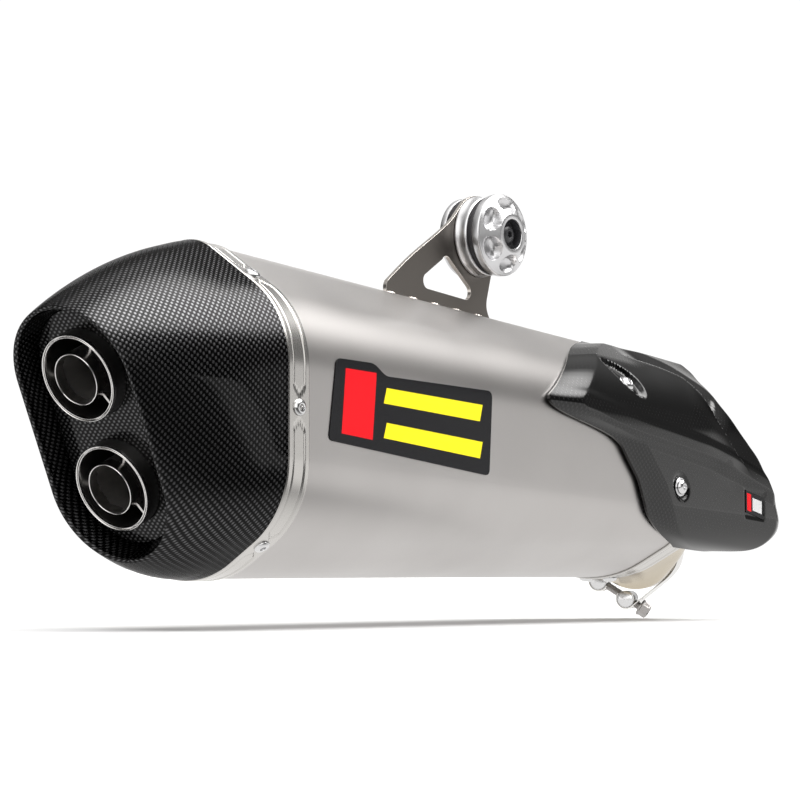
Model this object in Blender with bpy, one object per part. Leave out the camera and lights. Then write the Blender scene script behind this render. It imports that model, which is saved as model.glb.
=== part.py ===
"""Twin-outlet racing silencer: tapered can, carbon end cap, stacked tips, hanger bush, shield and clamp.

Sizes are in millimetres and become metres when a mesh is made. In the can's own coordinates X runs
from the outlet end of the sleeve towards the inlet, Y across the can and Z up from its belly line.
An empty moves the whole can so that the scene's origin is the centre of the hanger bush.
"""

import math

import bmesh
import bpy
from mathutils import Vector

MM = 0.001
GAP = 0.3

# Can: corners of its rounded hexagon as (y, z, corner radius), at the outlet and at the inlet end.
CAN_LENGTH = 450.0
OUTLET_CORNERS = ((0, 214, 34), (-81, 160, 60), (-81, 40, 60), (0, -12.6, 65), (81, 40, 60), (81, 160, 60))
INLET_CORNERS = ((0, 172, 40), (-80, 125, 45), (-80, 30, 30), (0, -12, 93), (80, 30, 30), (80, 125, 45))
CORNER_STEPS = 4
FLAT_STEPS = 2
SHEET = 1.2
STRAP_WIDTH = 19.5
STRAP_SHEET = 1.0

# Slanted face of the end cap.
FACE_CENTRE = Vector((-83.2, 0, 84.5))
FACE_SLANT = math.radians(24.4)
FACE_HALF_LENGTH = 82.4
FACE_HALF_WIDTH = 46.6
CARBON = 2.6
CAP_BULGE_SHARE = 0.065
PANEL_DEPTH = 14.5
PANEL_HALF_LENGTH = 75.2
PANEL_HALF_WIDTH = 39.0

# Outlet tips, along the inward normal of the face.
TIP_HEIGHTS = {"upper": 35.1, "lower": -35.1}
TIP_RADIUS = 27.5
TIP_BORE = 25.4
TIP_SETBACK = 2.9
TIP_LENGTH = 42.0
CORE_RADIUS = 16.3
CORE_WALL = 0.9
CORE_PROUD = 1.5
CORE_LENGTH = 50.0
OUTLET_PIPE_END_HEIGHT = {"upper": 146.0, "lower": 86.0}
OUTLET_PLATE_X = 26.0
OUTLET_PIPE_END_X = 60.0

# Inside of the can.
BAFFLE_X = 232.0
CORE_PIPE_RADIUS = 26.0
CORE_PIPE_HEIGHT = 62.0
PACKING_RADIUS = 50.0

# Hanger: bush axis along Y, and the sheet bracket that carries it.
BUSH_X = 295.0
BUSH_Z = 235.0
BRACKET_SHEET = 3.0
EYE_RADIUS = 28.5
EYE_BORE = 18.9
BUSH_RADIUS = 27.0
DISC_RADIUS = 28.2
SPACER_RADIUS = 7.5
BOLT_RADIUS = 4.0

# Inlet: a short tube that turns inwards, and the clamp around its end.
INLET_CENTRE = Vector((500.0, 3.0, 21.5))
INLET_TURN = math.radians(24.0)
INLET_RADIUS = 28.7
INLET_WALL = 1.6
CLAMP_WIDTH = 20.0
CLAMP_BAND_RADIUS = 30.3
BAND_SHEET = 0.9
GAP_DIRECTION = math.radians(-122.8)
BARREL_REACH = 36.9
BARREL_SPREAD = 12.15
BARREL_RADIUS = 6.2
SCREW_RADIUS = 3.0
HEAD_CLEARANCE = 3.4

# Heat shield, in stations along X and girth measured round the can from its top ridge.
SHIELD_SHEET = 2.4
SHIELD_STANDOFF = 9.0
SHIELD_EDGE_CLEARANCE = 2.0
SHIELD_TOP_GIRTH = 25.0
SHIELD_BOTTOM_GIRTH = 192.0
SHIELD_REAR_EDGE = ((25, 386), (35, 364), (47, 344), (66, 318), (85, 293), (98, 276), (107, 262), (113, 270),
                    (117, 294), (121, 328), (127, 348), (136, 356), (150, 370), (163, 376), (172, 381),
                    (180, 395), (186, 413), (192, 436))
SHIELD_FRONT_EDGE = ((25, 488), (33, 505), (47, 506), (71, 497), (85, 497), (102, 507), (117, 525), (139, 541),
                     (150, 548), (160, 552), (168, 551), (176, 544), (181, 536), (186, 518), (192, 474))
SHIELD_SCREWS = {"upper": (362.0, 87.0), "lower": (417.5, 150.0)}


for leftover in list(bpy.data.objects):
    bpy.data.objects.remove(leftover)

can_frame = bpy.data.objects.new("can_frame", None)
can_frame.location = Vector((-BUSH_X, 0, -BUSH_Z)) * MM
bpy.context.scene.collection.objects.link(can_frame)

COLOURS = {
    "titanium": ((0.52, 0.50, 0.48), 0.38, 1.0),
    "strap_steel": ((0.62, 0.60, 0.57), 0.25, 1.0),
    "rivet_steel": ((0.70, 0.70, 0.70), 0.22, 1.0),
    "carbon": ((0.02, 0.02, 0.022), 0.18, 0.0),
    "tip_steel": ((0.16, 0.15, 0.15), 0.25, 1.0),
    "inner_steel": ((0.40, 0.38, 0.36), 0.45, 1.0),
    "packing": ((0.75, 0.72, 0.60), 0.95, 0.0),
    "aluminium": ((0.78, 0.79, 0.80), 0.28, 1.0),
    "rubber": ((0.025, 0.024, 0.026), 0.75, 0.0),
    "black_steel": ((0.05, 0.05, 0.055), 0.35, 1.0),
    "label": ((0.015, 0.015, 0.016), 0.35, 0.0),
}


def finish_of(slot):
    """The slot's material, made the first time that it is asked for."""
    material = bpy.data.materials.get(slot)
    if material is None:
        colour, roughness, metallic = COLOURS[slot]
        material = bpy.data.materials.new(slot)
        material.use_nodes = True
        shader = material.node_tree.nodes["Principled BSDF"]
        shader.inputs["Base Color"].default_value = (*colour, 1.0)
        shader.inputs["Roughness"].default_value = roughness
        shader.inputs["Metallic"].default_value = metallic
    return material


def add_piece(name, mesh_data, slot, parent=can_frame):
    """Turns a bmesh in millimetres into a named, smooth-shaded object with its material."""
    bmesh.ops.remove_doubles(mesh_data, verts=mesh_data.verts, dist=0.002)
    bmesh.ops.recalc_face_normals(mesh_data, faces=mesh_data.faces)
    bmesh.ops.scale(mesh_data, vec=(MM, MM, MM), verts=mesh_data.verts)
    mesh = bpy.data.meshes.new(name)
    mesh_data.to_mesh(mesh)
    mesh_data.free()
    mesh.shade_smooth()
    mesh.set_sharp_from_angle(angle=math.radians(32))
    mesh.materials.append(finish_of(slot))
    piece = bpy.data.objects.new(name, mesh)
    bpy.context.scene.collection.objects.link(piece)
    piece.parent = parent
    return piece


def loft(rings, closed_path=False):
    """Skins rings of equal point counts, and caps the ends unless the path of rings closes on itself."""
    skin = bmesh.new()
    rows = [[skin.verts.new(point) for point in ring] for ring in rings]
    count = len(rows[0])
    pairs = list(zip(rows, rows[1:]))
    if closed_path:
        pairs.append((rows[-1], rows[0]))
    for near, far in pairs:
        for i in range(count):
            j = (i + 1) % count
            skin.faces.new((near[i], near[j], far[j], far[i]))
    if not closed_path:
        skin.faces.new(rows[0])
        skin.faces.new(list(reversed(rows[-1])))
    return skin


def lathe(profile, origin, axis, steps=32, start=Vector((0, 0, 1))):
    """Turns (distance along the axis, radius) points into rings about the axis; the path closes on itself."""
    axis = axis.normalized()
    across = axis.cross(start).normalized()
    upward = across.cross(axis)
    rings = []
    for along, radius in profile:
        ring = []
        for i in range(steps):
            angle = 2 * math.pi * i / steps
            spoke = upward * math.cos(angle) + across * math.sin(angle)
            ring.append(origin + axis * along + spoke * radius)
        rings.append(ring)
    return rings


def turned(profile, origin, axis, steps=32):
    """A turned ring whose profile is a closed loop that stays clear of its axis."""
    return loft(lathe(profile, origin, axis, steps), closed_path=True)


def turned_solid(profile, origin, axis, steps=32):
    """A turned solid whose profile starts and ends on flat faces across its axis."""
    return loft(lathe(profile, origin, axis, steps))


def prism(outline, low, high, place):
    """Extrudes a flat outline between two heights; place maps (u, v, height) to a point."""
    return loft([[place(u, v, height) for u, v in outline] for height in (low, high)])


def cutter(name, mesh_data, parent=can_frame):
    tool = add_piece(name, mesh_data, "inner_steel", parent)
    tool.hide_render = True
    tool.display_type = "WIRE"
    return tool


def boolean(piece, tool, operation="DIFFERENCE"):
    change = piece.modifiers.new(tool.name, "BOOLEAN")
    change.operation = operation
    change.object = tool
    return change


def mix(a, b, t):
    return a + (b - a) * t


def smooth_step(t):
    t = min(max(t, 0.0), 1.0)
    return t * t * (3 - 2 * t)


def curve_value(knots, at):
    """Reads a curve through (position, value) knots, with smooth turns between them."""
    if at <= knots[0][0]:
        return knots[0][1]
    for (x0, y0), (x1, y1) in zip(knots, knots[1:]):
        if at <= x1:
            return mix(y0, y1, (at - x0) / (x1 - x0))
    return knots[-1][1]


# ---- the can's section ----

def fillet(before, corner, after, radius, grow, steps):
    """Points and outward normals of the arc that rounds one corner."""
    to_before = (before - corner).normalized()
    to_after = (after - corner).normalized()
    half_angle = to_before.angle(to_after) / 2
    centre = corner + (to_before + to_after).normalized() * (radius / math.sin(half_angle))
    tangent = radius / math.tan(half_angle)
    first = corner + to_before * tangent - centre
    last = corner + to_after * tangent - centre
    start = math.atan2(first.y, first.x)
    sweep = (math.atan2(last.y, last.x) - start + math.pi) % (2 * math.pi) - math.pi
    points = []
    for k in range(steps + 1):
        normal = Vector((math.cos(start + sweep * k / steps), math.sin(start + sweep * k / steps)))
        points.append((centre + normal * (radius + grow), normal))
    return points


def section(x, grow=0.0, steps=CORNER_STEPS):
    """(point, normal) pairs of the can's outline at station x, from the top ridge down the -Y side."""
    t = x / CAN_LENGTH
    corners = []
    for near, far in zip(OUTLET_CORNERS, INLET_CORNERS):
        corners.append([mix(a, b, t) for a, b in zip(near, far)])
    arcs = []
    for i, (y, z, radius) in enumerate(corners):
        before = Vector(corners[i - 1][:2])
        after = Vector(corners[(i + 1) % len(corners)][:2])
        arcs.append(fillet(before, Vector((y, z)), after, radius, grow, steps))
    outline = []
    for arc, following in zip(arcs, arcs[1:] + arcs[:1]):
        outline += arc
        (p0, normal), (p1, _) = arc[-1], following[0]
        for k in range(1, FLAT_STEPS):
            outline.append((p0.lerp(p1, k / FLAT_STEPS), normal))
    middle = steps // 2
    return outline[middle:] + outline[:middle]


def can_ring(x, grow=0.0):
    return [Vector((x, point.x, point.y)) for point, _ in section(x, grow)]


def girth_point(x, girth, proud=0.0):
    """The point at a girth round the can from its top ridge on the -Y side, standing proud of it."""
    travelled = 0.0
    outline = section(x)
    for (p0, n0), (p1, n1) in zip(outline, outline[1:]):
        step = (p1 - p0).length
        if travelled + step >= girth:
            t = (girth - travelled) / step
            normal = (n0 * (1 - t) + n1 * t).normalized()
            point = p0 * (1 - t) + p1 * t + normal * proud
            return Vector((x, point.x, point.y)), Vector((0, normal.x, normal.y))
        travelled += step
    raise ValueError("girth runs past the outline")


def mounted_place(x, girth, side=1):
    """A point on the can's skin and the true outward normal there, on the -Y side or, with -1, the +Y side."""
    point, normal = girth_point(x, girth)
    ahead, _ = girth_point(x + 1, girth)
    slope = (ahead - point).dot(normal)
    normal = (normal - Vector((slope, 0, 0))).normalized()
    return Vector((point.x, point.y * side, point.z)), Vector((normal.x, normal.y * side, normal.z))


def can_shell(name, start, end, outer, inner, slot):
    """A thin sleeve that follows the can between two stations."""
    rings = [can_ring(start, outer), can_ring(end, outer), can_ring(end, inner), can_ring(start, inner)]
    return add_piece(name, loft(rings, closed_path=True), slot)


# ---- sleeve, straps and rivets ----

RIVET_GIRTHS = {"outlet": (50.0, 146.0, 238.0), "inlet": (52.0, 126.0, 254.0)}
RIVET_SHANK = 2.4


def strap_and_rivets(end, start, inner_sheets):
    """The strap round one end of the can, with rivets set through it and the sheets below."""
    strap = can_shell(end + "_strap", start, start + STRAP_WIDTH, GAP + STRAP_SHEET, GAP, "strap_steel")
    middle = start + STRAP_WIDTH / 2
    holes = bmesh.new()
    number = 0
    for side in (1, -1):
        for girth in RIVET_GIRTHS[end]:
            number += 1
            foot, normal = mounted_place(middle, girth, side)
            top = GAP + STRAP_SHEET
            shape = ((-4.6, RIVET_SHANK), (top + GAP, RIVET_SHANK), (top + GAP, 5.2), (top + 1.6, 4.6),
                     (top + 2.3, 3.0), (top + 2.3, 1.5), (top + 1.0, 1.2))
            add_piece(f"{end}_rivet_{number}", turned_solid(shape, foot, normal, 8), "rivet_steel")
            drill = lathe(((-7, RIVET_SHANK + GAP), (5, RIVET_SHANK + GAP)), foot, normal, 8)
            merge_into(holes, loft(drill))
    drills = cutter(end + "_rivet_drills", holes)
    for sheet in [strap, *inner_sheets]:
        boolean(sheet, drills)


def merge_into(target, extra):
    """Adds one bmesh's faces to another and frees the first."""
    scratch = bpy.data.meshes.new("scratch")
    extra.to_mesh(scratch)
    extra.free()
    target.from_mesh(scratch)
    bpy.data.meshes.remove(scratch)


# ---- end cap ----

FACE_UP = Vector((-math.sin(FACE_SLANT), 0, math.cos(FACE_SLANT)))
INWARD = Vector((math.cos(FACE_SLANT), 0, math.sin(FACE_SLANT)))


def face_point(up, across, depth=0.0):
    return FACE_CENTRE + FACE_UP * up + Vector((0, across, 0)) + INWARD * depth


def stadium(half_length, half_width, depth, fractions):
    """Stadium points at fractions of its length round, from the top centre down the -Y side."""
    straight = 2 * (half_length - half_width)
    quarter = math.pi * half_width / 2
    total = 4 * quarter + 2 * straight
    ring = []
    for fraction in fractions:
        along = fraction * total
        mirrored = along > total / 2
        if mirrored:
            along = total - along
        if along < quarter:
            angle = along / half_width
            up = half_length - half_width + half_width * math.cos(angle)
            across = -half_width * math.sin(angle)
        elif along < quarter + straight:
            up = half_length - half_width - (along - quarter)
            across = -half_width
        else:
            angle = (along - quarter - straight) / half_width
            up = -(half_length - half_width) - half_width * math.sin(angle)
            across = -half_width * math.cos(angle)
        ring.append(face_point(up, -across if mirrored else across, depth))
    return ring


def ring_fractions(ring):
    """How far round the ring each of its points lies, from 0 to 1."""
    lengths = [(b - a).length for a, b in zip(ring, ring[1:] + ring[:1])]
    total = sum(lengths)
    travelled = 0.0
    fractions = []
    for length in lengths:
        fractions.append(travelled / total)
        travelled += length
    return fractions


def make_end_cap():
    base = can_ring(0.0)
    fractions = ring_fractions(base)
    rim = stadium(FACE_HALF_LENGTH, FACE_HALF_WIDTH, 0.0, fractions)
    middle = Vector((-40, 0, 98))

    def flank(t, grow=0.0):
        ring = []
        for low, high in zip(base, rim):
            point = low.lerp(high, t)
            outward = (point - middle) * Vector((0.2, 1, 1))
            bulge = CAP_BULGE_SHARE * (high - low).length * 4 * t * (1 - t)
            ring.append(point + outward.normalized() * (grow + bulge))
        return ring

    def mouth(half_length_trim, half_width_trim, depth):
        return stadium(FACE_HALF_LENGTH - half_length_trim, FACE_HALF_WIDTH - half_width_trim, depth, fractions)

    def panel_seat(trim, depth):
        return stadium(PANEL_HALF_LENGTH + trim, PANEL_HALF_WIDTH + trim, depth, fractions)

    skirt = -SHEET - GAP
    rings = [can_ring(-GAP, GAP + STRAP_SHEET - 0.4), flank(0.18), flank(0.38), flank(0.58), flank(0.78),
             flank(0.94), mouth(0.6, 0.6, -0.4), mouth(2.0, 2.0, -0.2), mouth(3.2, 3.2, 1.4),
             panel_seat(0, PANEL_DEPTH), panel_seat(0, PANEL_DEPTH + 3), panel_seat(2.2, PANEL_DEPTH + 3),
             flank(0.70, -CARBON), flank(0.40, -CARBON), flank(0.10, -CARBON),
             can_ring(0, skirt - 1.6), can_ring(16, skirt - 1.6), can_ring(16, skirt), can_ring(-GAP, skirt)]
    cap = add_piece("end_cap", loft(rings, closed_path=True), "carbon")

    fit = panel_seat(-GAP, PANEL_DEPTH + 0.2)
    back = panel_seat(-GAP, PANEL_DEPTH + 2.2)
    panel = add_piece("end_cap_panel", loft([fit, back]), "carbon")
    for place, height in TIP_HEIGHTS.items():
        profile = ((PANEL_DEPTH - 4, TIP_RADIUS + GAP), (PANEL_DEPTH + 8, TIP_RADIUS + GAP))
        drill = cutter(f"panel_drill_{place}", turned_solid(profile, face_point(height, 0), INWARD, 28))
        boolean(panel, drill)
    return cap


# ---- outlet tips and what is behind them ----

def pipe(start, start_dir, end, end_dir, outer, inner, bend_steps=5, steps=16):
    """A bent tube in the XZ plane between two places, as a closed loft of outer and inner rings."""
    reach = (end - start).length * 0.45
    outside, inside = [], []
    for k in range(bend_steps + 1):
        t = k / bend_steps
        p0, p1 = start, start + start_dir * reach
        p2, p3 = end - end_dir * reach, end
        point = (1 - t) ** 3 * p0 + 3 * (1 - t) ** 2 * t * p1 + 3 * (1 - t) * t ** 2 * p2 + t ** 3 * p3
        run = (1 - t) ** 2 * (p1 - p0) + 2 * (1 - t) * t * (p2 - p1) + t ** 2 * (p3 - p2)
        across = Vector((0, 1, 0))
        upward = across.cross(run.normalized())
        ring = []
        for i in range(steps):
            angle = 2 * math.pi * i / steps
            ring.append(upward * math.cos(angle) + across * math.sin(angle))
        outside.append([point + spoke * outer for spoke in ring])
        inside.append([point + spoke * inner for spoke in ring])
    return loft(outside + inside[::-1], closed_path=True)


def make_tips():
    for place, height in TIP_HEIGHTS.items():
        centre = face_point(height, 0, TIP_SETBACK)
        double_lip = ((0.5, TIP_RADIUS), (0, TIP_RADIUS - 0.3), (0, TIP_RADIUS - 0.8), (1.6, TIP_RADIUS - 0.9),
                      (1.6, TIP_BORE + 0.6), (0.2, TIP_BORE + 0.5), (0.2, TIP_BORE + 0.1), (0.7, TIP_BORE),
                      (TIP_LENGTH, TIP_BORE), (TIP_LENGTH, TIP_RADIUS))
        add_piece(f"tip_sleeve_{place}", turned(double_lip, centre, INWARD, 28), "tip_steel")

        core_bore = CORE_RADIUS - CORE_WALL
        core = ((-CORE_PROUD, CORE_RADIUS - 0.2), (-CORE_PROUD, core_bore + 0.2), (-CORE_PROUD + 0.4, core_bore),
                (CORE_LENGTH, core_bore), (CORE_LENGTH, CORE_RADIUS), (-CORE_PROUD + 0.4, CORE_RADIUS))
        tube = add_piece(f"tip_core_{place}", turned(core, centre, INWARD, 24), "tip_steel")
        for number, angle in enumerate((90, 210, 330)):
            spoke = FACE_UP * math.cos(math.radians(angle)) + Vector((0, math.sin(math.radians(angle)), 0))
            side = INWARD.cross(spoke)

            def web_point(u, v, height):
                return centre + spoke * u + INWARD * v + side * height

            web = ((CORE_RADIUS - 0.5, 9), (TIP_BORE - GAP, 9), (TIP_BORE - GAP, 19), (CORE_RADIUS - 0.5, 19))
            boolean(tube, cutter(f"web_{place}_{number}", prism(web, -0.8, 0.8, web_point)), "UNION")

        pipe_start = centre + INWARD * (CORE_LENGTH + GAP)
        pipe_end = Vector((OUTLET_PIPE_END_X, 0, OUTLET_PIPE_END_HEIGHT[place]))
        bend = pipe(pipe_start, INWARD, pipe_end, Vector((1, 0, 0)), CORE_RADIUS + 1.4, CORE_RADIUS)
        add_piece(f"outlet_pipe_{place}", bend, "inner_steel")


def cross_plate(name, x, holes):
    """A flat plate across the inside of the can, with (y, z, radius) holes."""
    ring = can_ring(x, -SHEET - 1.6 - 3 * GAP)
    far = [Vector((x + SHEET, p.y, p.z)) for p in can_ring(x + SHEET, -SHEET - 1.6 - 3 * GAP)]
    plate = add_piece(name, loft([ring, far]), "inner_steel")
    for number, (y, z, radius) in enumerate(holes):
        drill = turned_solid(((-30, radius), (30, radius)), Vector((x, y, z)), Vector((1, 0, 0)), 16)
        boolean(plate, cutter(f"{name}_drill_{number}", drill))
    return plate


def make_internals():
    """Outlet plate, middle baffle, perforated core and the packing wrapped round it."""
    cross_plate("outlet_plate", OUTLET_PLATE_X, [(0, 148.4, 18.7), (0, 87.2, 18.7)])
    cross_plate("middle_baffle", BAFFLE_X, [(0, CORE_PIPE_HEIGHT, CORE_PIPE_RADIUS + GAP), (0, 140.0, 18.0)])
    axis = Vector((1, 0, 0))
    start = Vector((BAFFLE_X - 20, 0, CORE_PIPE_HEIGHT))
    length = CAN_LENGTH - 34 - BAFFLE_X
    wall = ((0, CORE_PIPE_RADIUS), (length, CORE_PIPE_RADIUS), (length, CORE_PIPE_RADIUS - 1.5),
            (0, CORE_PIPE_RADIUS - 1.5))
    add_piece("perforated_core", turned(wall, start, axis, 16), "inner_steel")
    wrap_start = 20 + SHEET + 2
    wrap_end = length - 6
    wrap = ((wrap_start, PACKING_RADIUS), (wrap_end, PACKING_RADIUS), (wrap_end, CORE_PIPE_RADIUS + GAP),
            (wrap_start, CORE_PIPE_RADIUS + GAP))
    add_piece("packing", turned(wrap, start, axis, 16), "packing")


# ---- hanger bracket and bush ----

def bush_point(u, v, height):
    return Vector((BUSH_X + u, height, BUSH_Z + v))


def ridge_height(x):
    return can_ring(x)[0].z


def make_bracket():
    """Flat sheet on the ridge: a broad foot, a leaning arm and a round eye for the bush."""
    foot_rear, foot_front = 193.4, 313.0
    outline = [(foot_rear - BUSH_X, ridge_height(foot_rear) + GAP - BUSH_Z)]
    for x, z in ((193.2, 194.0), (194.6, 197.2), (197.3, 199.6), (221.6, 217.0), (261.0, 241.5)):
        outline.append((x - BUSH_X, z - BUSH_Z))
    for degrees in range(126, -61, -12):
        angle = math.radians(degrees)
        outline.append((EYE_RADIUS * math.cos(angle), EYE_RADIUS * math.sin(angle)))
    for x, z in ((305.4, 194.0), (304.0, 188.0), (304.6, 182.5), (308.6, 176.0)):
        outline.append((x - BUSH_X, z - BUSH_Z + 2.0))
    outline.append((foot_front - BUSH_X, ridge_height(foot_front) + GAP - BUSH_Z))
    half = BRACKET_SHEET / 2
    sheet = add_piece("hanger_bracket", prism(outline, -half, half, bush_point), "titanium")

    window = []
    for (x, z), radius, first, last in (((258.5, 214.0), 5.0, 150, 40), ((280.5, 196.0), 5.5, 40, -100),
                                        ((238.5, 200.5), 5.5, -100, -225)):
        for k in range(5):
            angle = math.radians(mix(first, last, k / 4))
            window.append((x + radius * math.cos(angle) - BUSH_X, z + radius * math.sin(angle) - BUSH_Z))
    boolean(sheet, cutter("bracket_window", prism(window, -9, 9, bush_point)))
    bore = turned_solid(((-9, EYE_BORE), (9, EYE_BORE)), bush_point(0, 0, 0), Vector((0, 1, 0)), 32)
    boolean(sheet, cutter("bracket_bore", bore))


def make_bush():
    """Turned parts on the bush axis. Distances run along +Y from the middle of the sheet."""
    centre = bush_point(0, 0, 0)
    axis = Vector((0, 1, 0))
    sheet = BRACKET_SHEET / 2
    collar_out, collar_in = -11.2, -sheet - GAP
    rubber_bore = SPACER_RADIUS + GAP
    hub = EYE_BORE - GAP
    collar = ((collar_out, 26.2), (collar_out + 0.8, 27.2), (collar_in - 1.2, 28.2), (collar_in, 27.8),
              (collar_in, EYE_BORE), (collar_out, EYE_BORE))
    add_piece("bush_collar", turned(collar, centre, axis, 28), "aluminium")

    rim_front = collar_out - GAP
    front = ((rim_front - 4.2, 26.2), (rim_front - 3.4, BUSH_RADIUS), (rim_front - 0.6, BUSH_RADIUS),
             (rim_front, 26.4), (rim_front, hub), (-GAP, hub), (-GAP, rubber_bore), (rim_front - 4.2, rubber_bore))
    add_piece("bush_rubber_front", turned(front, centre, axis, 24), "rubber")
    rim_rear = sheet + GAP
    rear = ((rim_rear + 5.0, 26.2), (rim_rear + 4.2, BUSH_RADIUS), (rim_rear + 0.6, BUSH_RADIUS),
            (rim_rear, 26.4), (rim_rear, hub), (GAP, hub), (GAP, rubber_bore), (rim_rear + 5.0, rubber_bore))
    add_piece("bush_rubber_rear", turned(rear, centre, axis, 24), "rubber")

    disc_back = rim_front - 4.2 - GAP
    disc_rear = rim_rear + 5.0 + GAP
    spacer = ((disc_back + GAP, SPACER_RADIUS), (disc_rear - GAP, SPACER_RADIUS), (disc_rear - GAP, BOLT_RADIUS + GAP),
              (disc_back + GAP, BOLT_RADIUS + GAP))
    add_piece("bush_spacer", turned(spacer, centre, axis, 16), "aluminium")
    front_disc = ((disc_back, 27.0), (disc_back - 1.2, DISC_RADIUS), (-21.6, DISC_RADIUS), (-22.4, 27.2),
                  (-29.6, 15.5), (-31, 13.6), (-31, 10.8), (-30.4, 10.2), (-24, 10.2), (-24, BOLT_RADIUS + GAP),
                  (disc_back, BOLT_RADIUS + GAP))
    disc = add_piece("bush_disc_front", turned(front_disc, centre, axis, 28), "aluminium")
    pockets = bmesh.new()
    for number in range(6):
        angle = math.radians(60 * number + 32)
        spoke = Vector((math.cos(angle), 0, math.sin(angle)))
        side = spoke.cross(axis)
        ring = []
        for k in range(10):
            turn = 2 * math.pi * k / 10
            ring.append(spoke * (20.4 + 5.6 * math.cos(turn)) + side * (8.2 * math.sin(turn)))
        merge_into(pockets, loft([[centre + p + axis * -33 for p in ring], [centre + p + axis * -21.4 for p in ring]]))
    boolean(disc, cutter("disc_pockets", pockets))
    rear_disc = ((disc_rear, 26.4), (disc_rear + 0.8, DISC_RADIUS - 1), (disc_rear + 4, DISC_RADIUS - 1),
                 (disc_rear + 4.8, 26.4), (disc_rear + 4.8, BOLT_RADIUS + GAP), (disc_rear, BOLT_RADIUS + GAP))
    add_piece("bush_disc_rear", turned(rear_disc, centre, axis, 24), "aluminium")
    bolt = ((-28.4, 3.0), (-28.4, 5.2), (-27.6, 6.4), (-26.2, 6.9), (-24 - GAP, 6.9), (-24 - GAP, BOLT_RADIUS),
            (33, BOLT_RADIUS), (34, BOLT_RADIUS - 1))
    socketed = ((-25.6, 2.8), *bolt)
    add_piece("hanger_bolt", turned_solid(socketed, centre, axis, 16), "black_steel")


# ---- inlet cap, tube and clamp ----

INLET_AXIS = Vector((math.cos(INLET_TURN), math.sin(INLET_TURN), 0))
INLET_SIDE = Vector((math.sin(INLET_TURN), -math.cos(INLET_TURN), 0))
TUBE_START, TUBE_END = -24.0, 14.0


def make_inlet():
    base = can_ring(CAN_LENGTH, -SHEET - GAP)
    fractions = ring_fractions(base)

    def collar_ring(along, radius):
        centre = INLET_CENTRE + INLET_AXIS * along
        ring = []
        for fraction in fractions:
            angle = 2 * math.pi * fraction
            ring.append(centre + Vector((0, 0, radius * math.cos(angle))) + INLET_SIDE * radius * math.sin(angle))
        return ring

    def blend(grow, t, target):
        start = can_ring(CAN_LENGTH, grow)
        return [a.lerp(b, t) + Vector((5 * math.sin(math.pi * t), 0, 0)) for a, b in zip(start, target)]

    seat = INLET_RADIUS + 2 * GAP
    radius = seat + 1.0
    outer_end = collar_ring(TUBE_START, radius)
    outer_lip = collar_ring(TUBE_START + 6, radius)
    inner_lip = collar_ring(TUBE_START + 6, seat)
    inner_end = collar_ring(TUBE_START, seat)
    skirt = -SHEET - GAP
    rings = [can_ring(CAN_LENGTH - 18, skirt), can_ring(CAN_LENGTH + GAP, skirt), can_ring(CAN_LENGTH + 2, skirt + 0.8),
             blend(skirt, 0.3, outer_end), blend(skirt, 0.65, outer_end), outer_end, outer_lip, inner_lip, inner_end,
             blend(skirt - 1.4, 0.6, inner_end), blend(skirt - 1.4, 0.25, inner_end),
             can_ring(CAN_LENGTH - 1, skirt - 1.4), can_ring(CAN_LENGTH - 18, skirt - 1.4)]
    cap = add_piece("inlet_cap", loft(rings, closed_path=True), "titanium")
    tube_rear = TUBE_START + 1.0
    tube = ((tube_rear, INLET_RADIUS), (TUBE_END, INLET_RADIUS), (TUBE_END, INLET_RADIUS - INLET_WALL),
            (tube_rear, INLET_RADIUS - INLET_WALL))
    add_piece("inlet_tube", turned(tube, INLET_CENTRE, INLET_AXIS, 32), "titanium")
    return cap


RADIAL = INLET_SIDE * math.cos(GAP_DIRECTION) + Vector((0, 0, math.sin(GAP_DIRECTION)))
SCREW_AXIS = RADIAL.cross(INLET_AXIS)


def clamp_point(u, v, height):
    """u along the screw towards its head, v out through the gap, height along the inlet."""
    return INLET_CENTRE + SCREW_AXIS * u + RADIAL * v + INLET_AXIS * height


def strip_outline(path, sheet):
    """The outline of a strip of sheet that follows a path of (u, v) points."""
    left, right = [], []
    for i, point in enumerate(path):
        run = (path[min(i + 1, len(path) - 1)] - path[max(i - 1, 0)]).normalized()
        side = Vector((-run.y, run.x)) * (sheet / 2)
        left.append(point + side)
        right.append(point - side)
    return left + right[::-1]


def arc_path(centre, radius, first, last, steps):
    """Points on an arc, with degrees measured from the gap's direction towards the screw's head."""
    path = []
    for k in range(steps + 1):
        angle = math.radians(mix(first, last, k / steps))
        path.append(centre + Vector((math.sin(angle), math.cos(angle))) * radius)
    return path


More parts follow.
